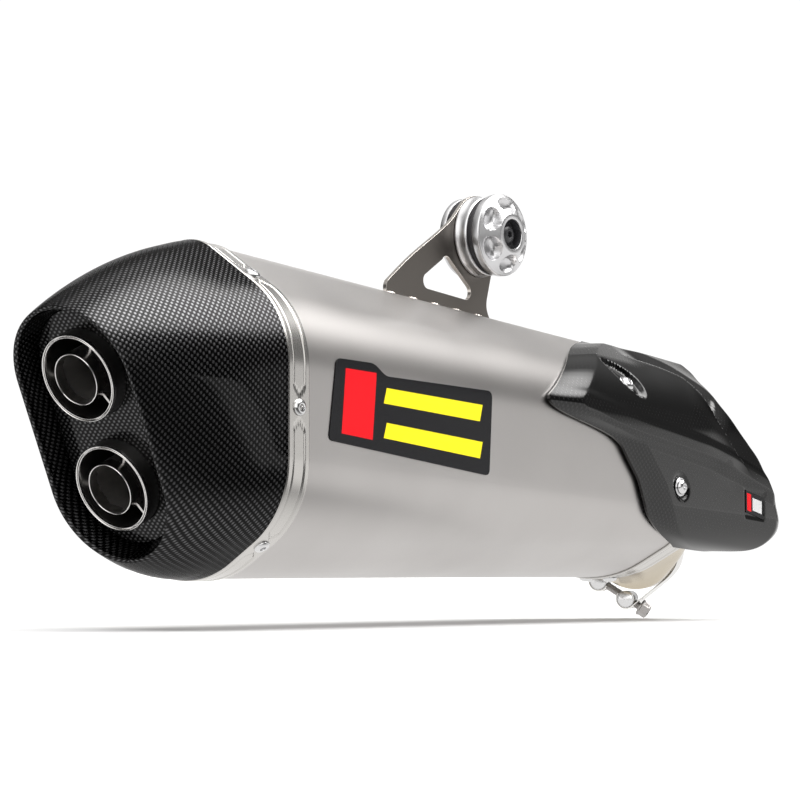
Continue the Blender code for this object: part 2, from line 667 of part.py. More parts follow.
def make_clamp():
    half = CLAMP_WIDTH / 2
    loop = BARREL_RADIUS + GAP + BAND_SHEET / 2
    barrel = Vector((BARREL_SPREAD, BARREL_REACH))
    lean = math.degrees(math.atan2(barrel.x, barrel.y))
    leave = lean + math.degrees(math.acos((CLAMP_BAND_RADIUS - loop) / barrel.length))
    band = arc_path(Vector((0, 0)), CLAMP_BAND_RADIUS, 178.5, leave, 12)
    band += arc_path(barrel, loop, leave, -95, 10)
    slot = ((-60, 30.8), (60, 30.8), (60, 60), (-60, 60))
    slots = cutter("clamp_slots", prism(slot, -4.2, 4.2, clamp_point))
    for name, side in (("clamp_band", 1), ("clamp_jaw", -1)):
        path = [Vector((p.x * side, p.y)) for p in band]
        outline = [(p.x, p.y) for p in strip_outline(path, BAND_SHEET)]
        strip = add_piece(name, prism(outline, -half, half, clamp_point), "strap_steel")
        boolean(strip, slots)
    liner = arc_path(Vector((0, 0)), CLAMP_BAND_RADIUS - 1.0, leave + 14, -leave - 14, 16)
    outline = [(p.x, p.y) for p in strip_outline(liner, 0.5)]
    add_piece("clamp_liner", prism(outline, -half + 1, half - 1, clamp_point), "strap_steel")

    for name, side in (("clamp_barrel_near", 1), ("clamp_barrel_far", -1)):
        seat = clamp_point(BARREL_SPREAD * side, BARREL_REACH, 0)
        pin = ((-half - 0.6, BARREL_RADIUS - 0.6), (-half, BARREL_RADIUS), (half, BARREL_RADIUS),
               (half + 0.6, BARREL_RADIUS - 0.6))
        piece = add_piece(name, turned_solid(pin, seat, INLET_AXIS, 16), "rivet_steel")
        drill = turned_solid(((-12, SCREW_RADIUS + GAP), (12, SCREW_RADIUS + GAP)), seat, SCREW_AXIS, 12)
        boolean(piece, cutter(name + "_drill", drill))

    head = BARREL_SPREAD + loop + BAND_SHEET / 2 + HEAD_CLEARANCE
    tail = -BARREL_SPREAD - BARREL_RADIUS - 13
    rod = ((tail, SCREW_RADIUS - 0.7), (tail + 0.7, SCREW_RADIUS), (head, SCREW_RADIUS), (head, 6.4),
           (head + 1.4, 6.2), (head + 1.6, None), (head + 6.6, None), (head + 7.2, 4.6))
    steps = 18
    rings = []
    origin = clamp_point(0, BARREL_REACH, 0)
    for along, radius in rod:
        ring = []
        for i in range(steps):
            angle = 2 * math.pi * i / steps
            flat = math.pi / 3
            reach = radius or 4.9 / math.cos((angle % flat) - flat / 2)
            spoke = RADIAL * math.cos(angle) + INLET_AXIS * math.sin(angle)
            ring.append(origin + SCREW_AXIS * along + spoke * reach)
        rings.append(ring)
    add_piece("clamp_screw", loft(rings), "rivet_steel")


# ---- heat shield ----

def shield_point(x, girth, inset=0.0):
    """A point on the shield's outer face, which curls down to the can round its edges."""
    rear = curve_value(SHIELD_REAR_EDGE, girth)
    front = curve_value(SHIELD_FRONT_EDGE, girth)
    rise = smooth_step((x - rear) / 26.0) * smooth_step((girth - SHIELD_TOP_GIRTH + 3) / 16.0)
    rise *= smooth_step((SHIELD_BOTTOM_GIRTH + 3 - girth) / 16.0) * smooth_step((front - x + 6) / 14.0)
    edge = SHIELD_SHEET + SHIELD_EDGE_CLEARANCE
    proud = mix(edge, SHIELD_STANDOFF, rise) - inset
    point, _ = girth_point(x, girth, proud)
    pull = smooth_step((x - 440) / 70.0) * math.exp(-((girth - 76) / 34.0) ** 2)
    return point + Vector((0, 9.0, -2.0)) * pull


def make_shield():
    rows = 20
    columns = 11
    outer, inner = [], []
    for i in range(rows + 1):
        girth = mix(SHIELD_TOP_GIRTH, SHIELD_BOTTOM_GIRTH, i / rows)
        rear = curve_value(SHIELD_REAR_EDGE, girth)
        front = curve_value(SHIELD_FRONT_EDGE, girth)
        stations = [mix(rear, front, (k / columns)) for k in range(columns + 1)]
        outer.append([shield_point(x, girth) for x in stations])
        inner.append([shield_point(x, girth, SHIELD_SHEET) for x in stations])
    rings = [near + far[::-1] for near, far in zip(outer, inner)]
    shell = bmesh.new()
    verts = [[shell.verts.new(p) for p in ring] for ring in rings]
    count = len(rings[0])
    for near, far in zip(verts, verts[1:]):
        for k in range(count):
            j = (k + 1) % count
            shell.faces.new((near[k], near[j], far[j], far[k]))
    for ring in (verts[0], verts[-1]):
        for k in range(columns):
            shell.faces.new((ring[k], ring[k + 1], ring[count - 2 - k], ring[count - 1 - k]))
    shield = add_piece("heat_shield", shell, "carbon")

    for place, (x, girth) in SHIELD_SCREWS.items():
        foot, normal = mounted_place(x, girth)
        face = SHIELD_STANDOFF
        boss_top = face - SHIELD_SHEET - 4 * GAP
        boss = ((0.9, 6.5), (boss_top, 6.5), (boss_top, SCREW_RADIUS + GAP), (0.9, SCREW_RADIUS + GAP))
        add_piece(f"shield_boss_{place}", turned(boss, foot, normal, 12), "titanium")
        drill = turned_solid(((face - 8, SCREW_RADIUS + GAP), (face + 8, SCREW_RADIUS + GAP)), foot, normal, 12)
        boolean(shield, cutter(f"shield_drill_{place}", drill))
        rest = face + 2 * GAP
        washer = ((rest, 6.6), (rest + 1.1, 6.6), (rest + 1.1, SCREW_RADIUS + GAP), (rest, SCREW_RADIUS + GAP))
        add_piece(f"shield_washer_{place}", turned(washer, foot, normal, 14), "rivet_steel")
        seat = rest + 1.1 + GAP
        screw = ((1.2, SCREW_RADIUS), (seat, SCREW_RADIUS), (seat, 5.2), (seat + 1.6, 4.9), (seat + 2.9, 3.4),
                 (seat + 3.1, 1.9), (seat + 1.5, 1.7))
        add_piece(f"shield_screw_{place}", turned_solid(screw, foot, normal, 14), "rivet_steel")
    return shield


# ---- label and badge ----

def side_depth(x, z, proud):
    """The Y of the can's -Y flank at a height, standing proud of it."""
    outline = section(x, proud, 12)
    best = None
    for (p0, _), (p1, _) in zip(outline[1:], outline[2:]):
        if p0.x > 0 or p1.x > 0 or not (min(p0.y, p1.y) <= z <= max(p0.y, p1.y)):
            continue
        t = 0 if p0.y == p1.y else (z - p0.y) / (p1.y - p0.y)
        y = mix(p0.x, p1.x, t)
        best = y if best is None else min(best, y)
    return best


def sheet_between(rows, proud, thickness, depth_of):
    """A thin closed sheet over a grid of (x, z) points laid on a flank."""
    faces = [[Vector((x, depth_of(x, z, proud + lift), z)) for x, z in row] for lift in (thickness, 0)
             for row in rows]
    count = len(rows)
    outer, inner = faces[:count], faces[count:]
    skin = bmesh.new()
    verts = [[skin.verts.new(p) for p in near + far[::-1]] for near, far in zip(outer, inner)]
    width = len(verts[0])
    for near, far in zip(verts, verts[1:]):
        for k in range(width):
            j = (k + 1) % width
            skin.faces.new((near[k], near[j], far[j], far[k]))
    for ring in (verts[0], verts[-1]):
        for k in range(width // 2 - 1):
            skin.faces.new((ring[k], ring[k + 1], ring[width - 2 - k], ring[width - 1 - k]))
    return skin


LABEL_TOP = ((38, 134.7), (83, 133.0), (93, 125.5), (204, 121.3))
LABEL_BOTTOM = ((38, 84.0), (204, 65.8))


def make_label():
    rows = []
    stations = (0.0, 0.12, 0.25, 0.29, 0.33, 0.5, 0.75, 1.0)
    for i in range(9):
        up = i / 8
        row = []
        for t in stations:
            x = mix(mix(38.1, 45.5, up), mix(200.4, 203.8, up), t)
            row.append((x, mix(curve_value(LABEL_BOTTOM, x), curve_value(LABEL_TOP, x), up)))
        rows.append(row)
    add_piece("side_label", sheet_between(rows, GAP, 0.4, side_depth), "label")


def shield_face(x, z, proud):
    """The Y of the shield's outer face over its flat lower panel, standing proud of it."""
    return side_depth(x, z, SHIELD_STANDOFF + proud)


def make_badge():
    rows = []
    for i in range(4):
        up = i / 3
        rows.append([(mix(503.0, 526.0, t), mix(47.0, 63.0, up) - 4.0 * t) for t in (0, 0.5, 1)])
    add_piece("shield_badge", sheet_between(rows, GAP, 0.8, shield_face), "label")


sleeve = can_shell("outer_sleeve", 0.0, CAN_LENGTH, 0.0, -SHEET, "titanium")
end_cap = make_end_cap()
strap_and_rivets("outlet", 0.0, [sleeve, end_cap])
make_tips()
make_internals()
make_bracket()
make_bush()
inlet_cap = make_inlet()
strap_and_rivets("inlet", CAN_LENGTH - STRAP_WIDTH, [sleeve, inlet_cap])
make_clamp()
make_shield()
make_label()
make_badge()
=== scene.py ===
import math

import bmesh
import bpy
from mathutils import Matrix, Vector


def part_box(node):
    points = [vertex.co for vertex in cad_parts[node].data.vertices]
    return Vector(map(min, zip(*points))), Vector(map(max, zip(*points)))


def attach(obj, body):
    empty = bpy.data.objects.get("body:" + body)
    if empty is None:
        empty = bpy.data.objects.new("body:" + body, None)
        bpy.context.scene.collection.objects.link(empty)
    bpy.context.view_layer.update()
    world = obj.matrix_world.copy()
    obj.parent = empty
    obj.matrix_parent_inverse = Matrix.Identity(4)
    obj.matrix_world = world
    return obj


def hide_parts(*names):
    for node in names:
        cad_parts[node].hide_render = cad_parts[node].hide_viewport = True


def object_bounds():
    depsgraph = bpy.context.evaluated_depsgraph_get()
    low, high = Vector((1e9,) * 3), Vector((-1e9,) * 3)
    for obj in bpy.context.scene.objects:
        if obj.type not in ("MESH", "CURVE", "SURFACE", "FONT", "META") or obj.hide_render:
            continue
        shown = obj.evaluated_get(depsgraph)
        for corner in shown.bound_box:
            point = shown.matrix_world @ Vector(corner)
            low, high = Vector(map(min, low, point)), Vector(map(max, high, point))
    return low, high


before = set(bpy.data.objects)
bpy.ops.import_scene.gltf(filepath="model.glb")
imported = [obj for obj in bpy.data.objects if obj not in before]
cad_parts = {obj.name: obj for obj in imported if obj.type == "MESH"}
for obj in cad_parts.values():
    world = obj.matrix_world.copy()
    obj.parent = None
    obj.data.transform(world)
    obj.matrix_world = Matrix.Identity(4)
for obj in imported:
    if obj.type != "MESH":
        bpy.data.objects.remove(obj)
cad_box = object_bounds()

# ---------------------------------------------------------------------------------------------
# Sleeve of the can: one rolled titanium sheet, bead-blasted to a satin grey. Its section is a
# rounded hexagon that loses height towards the inlet, and its ends are held by the two straps.
# ---------------------------------------------------------------------------------------------
MM = 0.001
rear_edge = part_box("outer_sleeve")[0].x
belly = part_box("outer_sleeve")[0].z
sleeve_length = (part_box("outer_sleeve")[1].x - rear_edge) / MM
rear_corners = ((0, 214, 34), (-81, 160, 60), (-81, 40, 60), (0, -12.6, 65), (81, 40, 60), (81, 160, 60))
front_corners = ((0, 172, 40), (-80, 125, 45), (-80, 30, 30), (0, -12, 93), (80, 30, 30), (80, 125, 45))


def at(x, y, z):
    """A place given in millimetres from the sleeve's rear edge, its middle plane and its belly."""
    return Vector((rear_edge + x * MM, y * MM, belly + z * MM))


def mix(a, b, t):
    return a + (b - a) * t


def ease(t):
    t = min(max(t, 0.0), 1.0)
    return t * t * (3 - 2 * t)


def rounded_corner(before, corner, after, radius, steps):
    to_before = (before - corner).normalized()
    to_after = (after - corner).normalized()
    half = to_before.angle(to_after) / 2
    centre = corner + (to_before + to_after).normalized() * (radius / math.sin(half))
    first = corner + to_before * (radius / math.tan(half)) - centre
    last = corner + to_after * (radius / math.tan(half)) - centre
    start = math.atan2(first.y, first.x)
    sweep = (math.atan2(last.y, last.x) - start + math.pi) % (2 * math.pi) - math.pi
    arc = []
    for k in range(steps + 1):
        normal = Vector((math.cos(start + sweep * k / steps), math.sin(start + sweep * k / steps)))
        arc.append((centre + normal * radius, normal))
    return arc


def can_outline(x, steps=14, flats=10):
    """(y-z point, normal) pairs round the can, from its top ridge down the -Y side."""
    corners = [[mix(a, b, x / sleeve_length) for a, b in zip(near, far)]
               for near, far in zip(rear_corners, front_corners)]
    arcs = []
    for i, (y, z, radius) in enumerate(corners):
        after = corners[(i + 1) % len(corners)]
        arcs.append(rounded_corner(Vector(corners[i - 1][:2]), Vector((y, z)), Vector(after[:2]),
                                   radius, steps))
    outline = []
    for arc, following in zip(arcs, arcs[1:] + arcs[:1]):
        outline += arc
        start, end = arc[-1], following[0]
        outline += [(start[0].lerp(end[0], k / flats), start[1]) for k in range(1, flats)]
    return outline[steps // 2:] + outline[:steps // 2]


def can_ring(x, grow=0.0):
    ring = []
    for point, normal in can_outline(x):
        grown = point + normal * grow
        ring.append(Vector((x, grown.x, grown.y)))
    return ring


def piece_from(name, skin, material, bevel=0.0):
    """Makes a bmesh given in millimetres into a smooth piece in its place."""
    bmesh.ops.remove_doubles(skin, verts=skin.verts, dist=0.001)
    bmesh.ops.recalc_face_normals(skin, faces=skin.faces)
    for vert in skin.verts:
        vert.co = at(*vert.co)
    mesh = bpy.data.meshes.new(name)
    skin.to_mesh(mesh)
    skin.free()
    mesh.shade_smooth()
    mesh.set_sharp_from_angle(angle=math.radians(35))
    mesh.materials.append(material)
    piece = bpy.data.objects.new(name, mesh)
    bpy.context.scene.collection.objects.link(piece)
    if bevel:
        softened = piece.modifiers.new("edges", "BEVEL")
        softened.width = bevel * MM
        softened.segments = 2
        softened.limit_method = "ANGLE"
        softened.angle_limit = math.radians(40)
    return piece


def stand_in(piece, body, slot, *nodes):
    """Puts a finished piece on its body, in place of the CAD nodes; its slot is not used."""
    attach(piece, body)
    if nodes:
        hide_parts(*nodes)
    return piece


def skin_rows(rows, closed_path=False, reference=0):
    """Skins rings of points; its map, in metres, runs round each ring from one point, and along them."""
    skin = bmesh.new()
    layer = skin.loops.layers.uv.new("surface")
    count = len(rows[0])
    verts, round_it, run = [], [], [[0.0] * count]
    for row in rows:
        verts.append([skin.verts.new(point) for point in row])
        travelled = [0.0]
        for a, b in zip(row, row[1:] + row[:1]):
            travelled.append(travelled[-1] + (b - a).length)
        round_it.append(travelled)
    for near, far in zip(rows, rows[1:] + rows[:1]):
        run.append([before + (b - a).length for before, a, b in zip(run[-1], near, far)])
    for near in range(len(rows) if closed_path else len(rows) - 1):
        far = (near + 1) % len(rows)
        for i in range(count):
            j = (i + 1) % count
            face = skin.faces.new((verts[near][i], verts[near][j], verts[far][j], verts[far][i]))
            for loop, (row, step, spot) in zip(face.loops, ((near, near, i), (near, near, i + 1),
                                                            (far, near + 1, i + 1), (far, near + 1, i))):
                travelled = round_it[row]
                start = travelled[reference] if i < count / 2 else travelled[-1] - travelled[reference]
                loop[layer].uv = ((travelled[spot] - start) * MM, run[step][spot % count] * MM)
    return skin


def shader_material(name, metallic, **sockets):
    """A material with its Principled shader's plain values set on their own sockets."""
    material = bpy.data.materials.new(name)
    material.use_nodes = True
    shader = material.node_tree.nodes["Principled BSDF"]
    shader.inputs["Metallic"].default_value = metallic
    for socket, value in sockets.items():
        shader.inputs[socket.replace("_", " ")].default_value = value
    return material, material.node_tree, shader


def added(tree, kind, **sockets):
    """A new shader node of a kind, with plain values or other nodes' outputs on its named sockets."""
    node = tree.nodes.new("ShaderNode" + kind)
    for socket, value in sockets.items():
        fill(tree, node.inputs[socket.replace("_", " ")], value)
    return node


def fill(tree, socket, value):
    if isinstance(value, bpy.types.NodeSocket):
        tree.links.new(value, socket)
    else:
        socket.default_value = value


def value_group(name, inputs, outputs):
    """An empty shader group with named value or colour sockets."""
    group = bpy.data.node_groups.new(name, "ShaderNodeTree")
    for label, kind, start in inputs:
        socket = group.interface.new_socket(label, in_out="INPUT", socket_type=kind)
        if start is not None:
            socket.default_value = start
    for label, kind in outputs:
        group.interface.new_socket(label, in_out="OUTPUT", socket_type=kind)
    return group, group.nodes.new("NodeGroupInput"), group.nodes.new("NodeGroupOutput")


def math_node(tree, operation, *values):
    node = added(tree, "Math")
    node.operation = operation
    for socket, value in zip(node.inputs, values):
        fill(tree, socket, value)
    return node.outputs[0]


def vector_node(tree, operation, first, second):
    node = added(tree, "VectorMath")
    node.operation = operation
    for socket, value in zip(node.inputs, (first, second)):
        fill(tree, socket, value)
    return node.outputs["Value" if operation == "DOT_PRODUCT" else "Vector"]


def colour_mix(tree, factor, first, second):
    blend = added(tree, "Mix")
    blend.data_type = "RGBA"
    for label, value in (("Factor", factor), ("A", first), ("B", second)):
        fill(tree, blend.inputs[label], value)
    return blend.outputs["Result"]


def relief(tree, height, strength, distance=0.0002):
    """The normal of a fine bump, for a material's shader."""
    return added(tree, "Bump", Strength=strength, Distance=distance, Height=height).outputs["Normal"]


def build_metal_wear():
    """Worked metal: cloudy tone, fine grain and fine scratches, all in object space."""
    group, source, out = value_group(
        "worked metal",
        (("Base", "NodeSocketColor", (0.5, 0.5, 0.5, 1)), ("Tint", "NodeSocketColor", (0.4, 0.38, 0.35, 1)),
         ("Rough", "NodeSocketFloat", 0.35), ("Spread", "NodeSocketFloat", 0.06),
         ("Grain", "NodeSocketFloat", 900.0), ("Stretch", "NodeSocketVector", (1, 1, 1))),
        (("Color", "NodeSocketColor"), ("Roughness", "NodeSocketFloat"), ("Height", "NodeSocketFloat")))
    place = added(group, "TexCoord").outputs["Object"]
    stretched = vector_node(group, "MULTIPLY", place, source.outputs["Stretch"])
    clouds = added(group, "TexNoise", Scale=14.0, Detail=4.0, Vector=place).outputs["Fac"]
    grain = added(group, "TexNoise", Scale=source.outputs["Grain"], Detail=2.0,
                  Vector=stretched).outputs["Fac"]
    tone = colour_mix(group, clouds, source.outputs["Base"], source.outputs["Tint"])
    swing = math_node(group, "SUBTRACT", grain, 0.5)
    wide = math_node(group, "MULTIPLY", swing, source.outputs["Spread"])
    cloud_swing = math_node(group, "MULTIPLY", math_node(group, "SUBTRACT", clouds, 0.5), 0.12)
    rough = math_node(group, "ADD", math_node(group, "ADD", wide, source.outputs["Rough"]), cloud_swing)
    for label, value in (("Color", tone), ("Roughness", rough), ("Height", grain)):
        group.links.new(value, out.inputs[label])
    return group


worked_metal = build_metal_wear()


def metal(name, base, tint, rough, spread, grain, bump, stretch=(1, 1, 1)):
    """A bare metal: its tone drifts from base to tint, its grain may be stretched along an axis."""
    material, tree, shader = shader_material(name, 1.0)
    wear = tree.nodes.new("ShaderNodeGroup")
    wear.node_tree = worked_metal
    for label, value in (("Base", (*base, 1)), ("Tint", (*tint, 1)), ("Rough", rough), ("Spread", spread),
                         ("Grain", grain), ("Stretch", stretch)):
        wear.inputs[label].default_value = value
    fill(tree, shader.inputs["Base Color"], wear.outputs["Color"])
    fill(tree, shader.inputs["Roughness"], wear.outputs["Roughness"])
    fill(tree, shader.inputs["Normal"], relief(tree, wear.outputs["Height"], bump))
    return material


satin_titanium = metal("satin titanium", (0.58, 0.562, 0.55), (0.53, 0.512, 0.50), 0.34, 0.10, 1500.0, 0.08,
                       (0.35, 1, 1))
sheet = 1.2
rows = [can_ring(mix(0, sleeve_length, k / 24)) for k in range(25)]
rows += [can_ring(mix(sleeve_length, 0, k / 4), -sheet) for k in range(5)]
sleeve = piece_from("sleeve_skin", skin_rows(rows, closed_path=True), satin_titanium)
stand_in(sleeve, "silencer", "titanium", "outer_sleeve")

# ---------------------------------------------------------------------------------------------
# End straps: bright stainless strips pressed with a long recess between each pair of rivets.
# The recess runs to a point before each rivet, and both edges of the strip are rolled down.
# ---------------------------------------------------------------------------------------------
strap_steel = metal("strap steel", (0.66, 0.645, 0.625), (0.58, 0.565, 0.54), 0.22, 0.05, 1200.0, 0.015)
strap_width = (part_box("outlet_strap")[1].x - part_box("outlet_strap")[0].x) / MM
strap_lift = 0.3
strap_sheet = 1.0
rivet_girths = {"outlet": (50.0, 146.0, 238.0), "inlet": (52.0, 126.0, 254.0)}


def pressed_depth(girth, total, across, stops):
    """Depth of the pressing: a sunk panel inside a deeper groove, closing to a point before each rivet."""
    clear = min(min(abs(girth - stop), abs(total - girth - stop)) for stop in stops)
    half_width = min(5.2, (clear - 7.0) * 0.9)
    if half_width <= -1:
        return 0.0
    inside = half_width - abs(across)
    return 0.25 * ease(inside / 0.7) + 0.75 * math.exp(-((inside - 0.2) / 0.5) ** 2)


def make_strap(end, start):
    """A fine strip round the can with its pressings and rolled edges."""
    across_steps = 60
    outer, inner = [], []
    for k in range(across_steps + 1):
        t = k / across_steps
        x = start + strap_width * t
        outline = can_outline(x, 40, 30)
        ring = [Vector((x, p.x, p.y)) for p, _ in outline]
        lengths = [(b - a).length for a, b in zip(ring, ring[1:] + ring[:1])]
        total = sum(lengths)
        across = (t - 0.5) * strap_width
        edge = 0.45 * (1 - ease((strap_width / 2 - abs(across)) / 1.0))
        lifted = []
        girth = 0.0
        for (point, normal), length in zip(outline, lengths):
            depth = pressed_depth(girth, total, across, rivet_girths[end])
            girth += length
            grown = point + normal * (strap_lift + strap_sheet - edge - depth)
            lifted.append(Vector((x, grown.x, grown.y)))
        outer.append(lifted)
        inner.append([Vector((x, p.x + n.x * strap_lift * 0.5, p.y + n.y * strap_lift * 0.5))
                      for p, n in outline])
    skin = skin_rows(outer + inner[::-20], closed_path=True)
    strap = piece_from(end + "_strap_pressed", skin, strap_steel)
    return stand_in(strap, "silencer", "strap_steel", end + "_strap")


make_strap("outlet", 0.0)
make_strap("inlet", sleeve_length - strap_width)

# ---------------------------------------------------------------------------------------------
# Rivets: hollow stainless blind rivets with a domed flange, three down each side of each strap.
# ---------------------------------------------------------------------------------------------
bright_steel = metal("bright steel", (0.78, 0.78, 0.78), (0.68, 0.68, 0.69), 0.18, 0.05, 1500.0, 0.03)


def plain_place(x, girth):
    """A point on the can's skin at a girth from the top ridge, and the section's normal there."""
    travelled = 0.0
    outline = can_outline(x)
    for (p0, n0), (p1, n1) in zip(outline, outline[1:]):
        step = (p1 - p0).length
        if travelled + step >= girth:
            t = (girth - travelled) / step
            point, normal = p0.lerp(p1, t), n0.lerp(n1, t).normalized()
            return Vector((x, point.x, point.y)), Vector((0, normal.x, normal.y))
        travelled += step
    raise ValueError("girth runs past the outline")


def skin_place(x, girth, side=1):
    """A point on the can's skin and the true outward normal there; side is -1 for the +Y side."""
    point, normal = plain_place(x, girth)
    slope = (plain_place(x + 1, girth)[0] - point).dot(normal)
    normal = (normal - Vector((slope, 0, 0))).normalized()
    return Vector((point.x, point.y * side, point.z)), Vector((normal.x, normal.y * side, normal.z))


def turned(profile, origin, axis, steps=64, closed=True):
    """A turned skin from (distance along the axis, radius) points; an open profile gets flat ends."""
    axis = axis.normalized()
    helper = Vector((0, 0, 1)) if abs(axis.z) < 0.9 else Vector((1, 0, 0))
    across = axis.cross(helper).normalized()
    upward = across.cross(axis)
    rings = []
    for along, radius in profile:
        spokes = [upward * math.cos(2 * math.pi * i / steps) + across * math.sin(2 * math.pi * i / steps)
                  for i in range(steps)]
        rings.append([origin + axis * along + spoke * radius for spoke in spokes])
    skin = skin_rows(rings, closed_path=closed)
    if not closed:
        bmesh.ops.holes_fill(skin, edges=[e for e in skin.edges if e.is_boundary], sides=0)
    return skin


for end, start in (("outlet", 0.0), ("inlet", sleeve_length - strap_width)):
    middle = start + strap_width / 2
    number = 0
    for side in (1, -1):
        for girth in rivet_girths[end]:
            number += 1
            foot, normal = skin_place(middle, girth, side)
            top = strap_lift + strap_sheet
            dome = [(-3.0, 2.4)]
            dome += [(top + rise, radius) for rise, radius in
                     ((0.05, 2.4), (0.05, 5.15), (0.5, 5.2), (1.2, 4.9), (1.9, 4.1), (2.25, 3.2), (2.3, 2.6),
                      (2.1, 2.0), (1.2, 1.75), (-1.5, 1.7), (-1.5, 0.05))]
            head = turned(dome, foot, normal, 32, False)
            rivet = piece_from(f"{end}_rivet_head_{number}", head, bright_steel)
            stand_in(rivet, "silencer", "rivet_steel", f"{end}_rivet_{number}")

# ---------------------------------------------------------------------------------------------
# End cap: moulded plain-weave carbon under clear lacquer. It tapers from the sleeve's section to a
# slanted stadium face whose recess holds a carbon panel; the strap's rivets hold its inner flange.
# ---------------------------------------------------------------------------------------------
tow_width = 2.0
face_centre = Vector((-83.2, 0, 84.5))
face_slant = math.radians(24.4)
face_up = Vector((-math.sin(face_slant), 0, math.cos(face_slant)))
inward = Vector((math.cos(face_slant), 0, math.sin(face_slant)))
face_half_length, face_half_width = 82.4, 46.6
panel_half_length, panel_half_width, panel_depth = 75.2, 39.0, 14.5
cap_bulge_share = 0.065


def build_weave():
    """Plain weave in a flat map in metres: over-and-under tows with crowned tops and fine fibres."""
    group, source, out = value_group(
        "plain weave",
        (("Map", "NodeSocketVector", None), ("Tow", "NodeSocketFloat", 0.0018),
         ("Over", "NodeSocketColor", (0.3, 0.3, 0.31, 1)),
         ("Under", "NodeSocketColor", (0.03, 0.03, 0.03, 1))),
        (("Color", "NodeSocketColor"), ("Height", "NodeSocketFloat"), ("Roughness", "NodeSocketFloat")))
    split = added(group, "SeparateXYZ", Vector=source.outputs["Map"])
    u = math_node(group, "DIVIDE", split.outputs["X"], source.outputs["Tow"])
    v = math_node(group, "DIVIDE", split.outputs["Y"], source.outputs["Tow"])
    cells = math_node(group, "ADD", math_node(group, "FLOOR", u), math_node(group, "FLOOR", v))
    over = math_node(group, "FLOORED_MODULO", cells, 2.0)
    squares = []
    for along in (u, v):
        local = math_node(group, "SUBTRACT", math_node(group, "FRACT", along), 0.5)
        squares.append(math_node(group, "MULTIPLY", local, local))
    crowns, fibres = [], []
    for first, second, fine_u, fine_v in ((*squares, 2.0, 26.0), (*squares[::-1], 26.0, 2.0)):
        fall = math_node(group, "ADD", math_node(group, "MULTIPLY", first, 2.4),
                         math_node(group, "MULTIPLY", second, 1.2))
        crowns.append(math_node(group, "SUBTRACT", 1.0, fall))
        spread = added(group, "CombineXYZ", X=math_node(group, "MULTIPLY", u, fine_u),
                       Y=math_node(group, "MULTIPLY", v, fine_v)).outputs[0]
        fibres.append(added(group, "TexNoise", Scale=1.0, Detail=1.0, Vector=spread).outputs["Fac"])
    height = added(group, "Mix", Factor=over, A=crowns[0], B=crowns[1]).outputs[0]
    fibre = added(group, "Mix", Factor=over, A=fibres[0], B=fibres[1]).outputs[0]
    # A tow that runs along the map's second direction is coloured brighter than one that crosses it, most at
    # its crown:
    # painted sheen in place of the light it catches. Each tow is also painted darker where it dives under its
    # neighbours: painted shade.
    crest = math_node(group, "POWER", math_node(group, "MAXIMUM", height, 0.0), 3.0)
    sheen = math_node(group, "ADD", math_node(group, "MULTIPLY", fibre, 0.7), 0.6)
    lit = math_node(group, "MULTIPLY", math_node(group, "MULTIPLY", over, crest), sheen)
    colour = colour_mix(group, lit, source.outputs["Under"], source.outputs["Over"])
    rough = math_node(group, "ADD", math_node(group, "MULTIPLY", fibre, 0.15), 0.27)
    for label, value in (("Color", colour), ("Height", height), ("Roughness", rough)):
        group.links.new(value, out.inputs[label])
    return group


plain_weave = build_weave()


def carbon(name, over, bump=0.35, coat=0.3):
    """Lacquered plain weave that follows the piece's own map."""
    material, tree, shader = shader_material(name, 1.0, Coat_Weight=coat, Coat_Roughness=0.03, Coat_IOR=1.5,
                                             Specular_Tint=(0.1, 0.1, 0.1, 1))
    place = added(tree, "UVMap")
    place.uv_map = "surface"
    weave = tree.nodes.new("ShaderNodeGroup")
    weave.node_tree = plain_weave
    # over is how bright the painted sheen makes the over tows at their crowns.
    for label, value in (("Map", place.outputs["UV"]), ("Tow", tow_width * MM),
                         ("Over", (over, over, over * 1.03, 1)), ("Under", (0.003, 0.003, 0.0032, 1))):
        fill(tree, weave.inputs[label], value)
    fill(tree, shader.inputs["Base Color"], weave.outputs["Color"])
    fill(tree, shader.inputs["Roughness"], weave.outputs["Roughness"])
    fill(tree, shader.inputs["Normal"], relief(tree, weave.outputs["Height"], bump, 0.0004))
    return material


cap_carbon = carbon("cap carbon", 0.15)


def face_point(up, across, depth=0.0):
    return face_centre + face_up * up + Vector((0, across, 0)) + inward * depth


def stadium(half_length, half_width, depth, fractions):
    """Points at fractions of the way round a stadium on the cap's face, from its top down the -Y side."""
    straight = 2 * (half_length - half_width)
    quarter = math.pi * half_width / 2
    total = 4 * quarter + 2 * straight
    ring = []
    for fraction in fractions:
        along = min(fraction, 1 - fraction) * total
        if along < quarter:
            angle = along / half_width
            up, across = half_length - half_width + half_width * math.cos(angle), half_width * math.sin(angle)
        elif along < quarter + straight:
            up, across = half_length - half_width - (along - quarter), half_width
        else:
            angle = (along - quarter - straight) / half_width
            up, across = half_width - half_length - half_width * math.sin(angle), half_width * math.cos(angle)
        ring.append(face_point(up, -across if fraction < 0.5 else across, depth))
    return ring


def fractions_of(ring):
    lengths = [(b - a).length for a, b in zip(ring, ring[1:] + ring[:1])]
    total, travelled, fractions = sum(lengths), 0.0, []
    for length in lengths:
        fractions.append(travelled / total)
        travelled += length
    return fractions


cap_base = can_ring(0.0)
cap_fractions = fractions_of(cap_base)
cap_rim = stadium(face_half_length, face_half_width, 0.0, cap_fractions)
cap_middle = Vector((-40, 0, 98))


def cap_flank(t, grow=0.0):
    ring = []
    for low, high in zip(cap_base, cap_rim):
        point = low.lerp(high, t)
        outward = (point - cap_middle) * Vector((0.2, 1, 1))
        bulge = cap_bulge_share * (high - low).length * 4 * t * (1 - t)
        ring.append(point + outward.normalized() * (grow + bulge))
    return ring


def cap_mouth(trim, depth):
    return stadium(face_half_length - trim, face_half_width - trim, depth, cap_fractions)


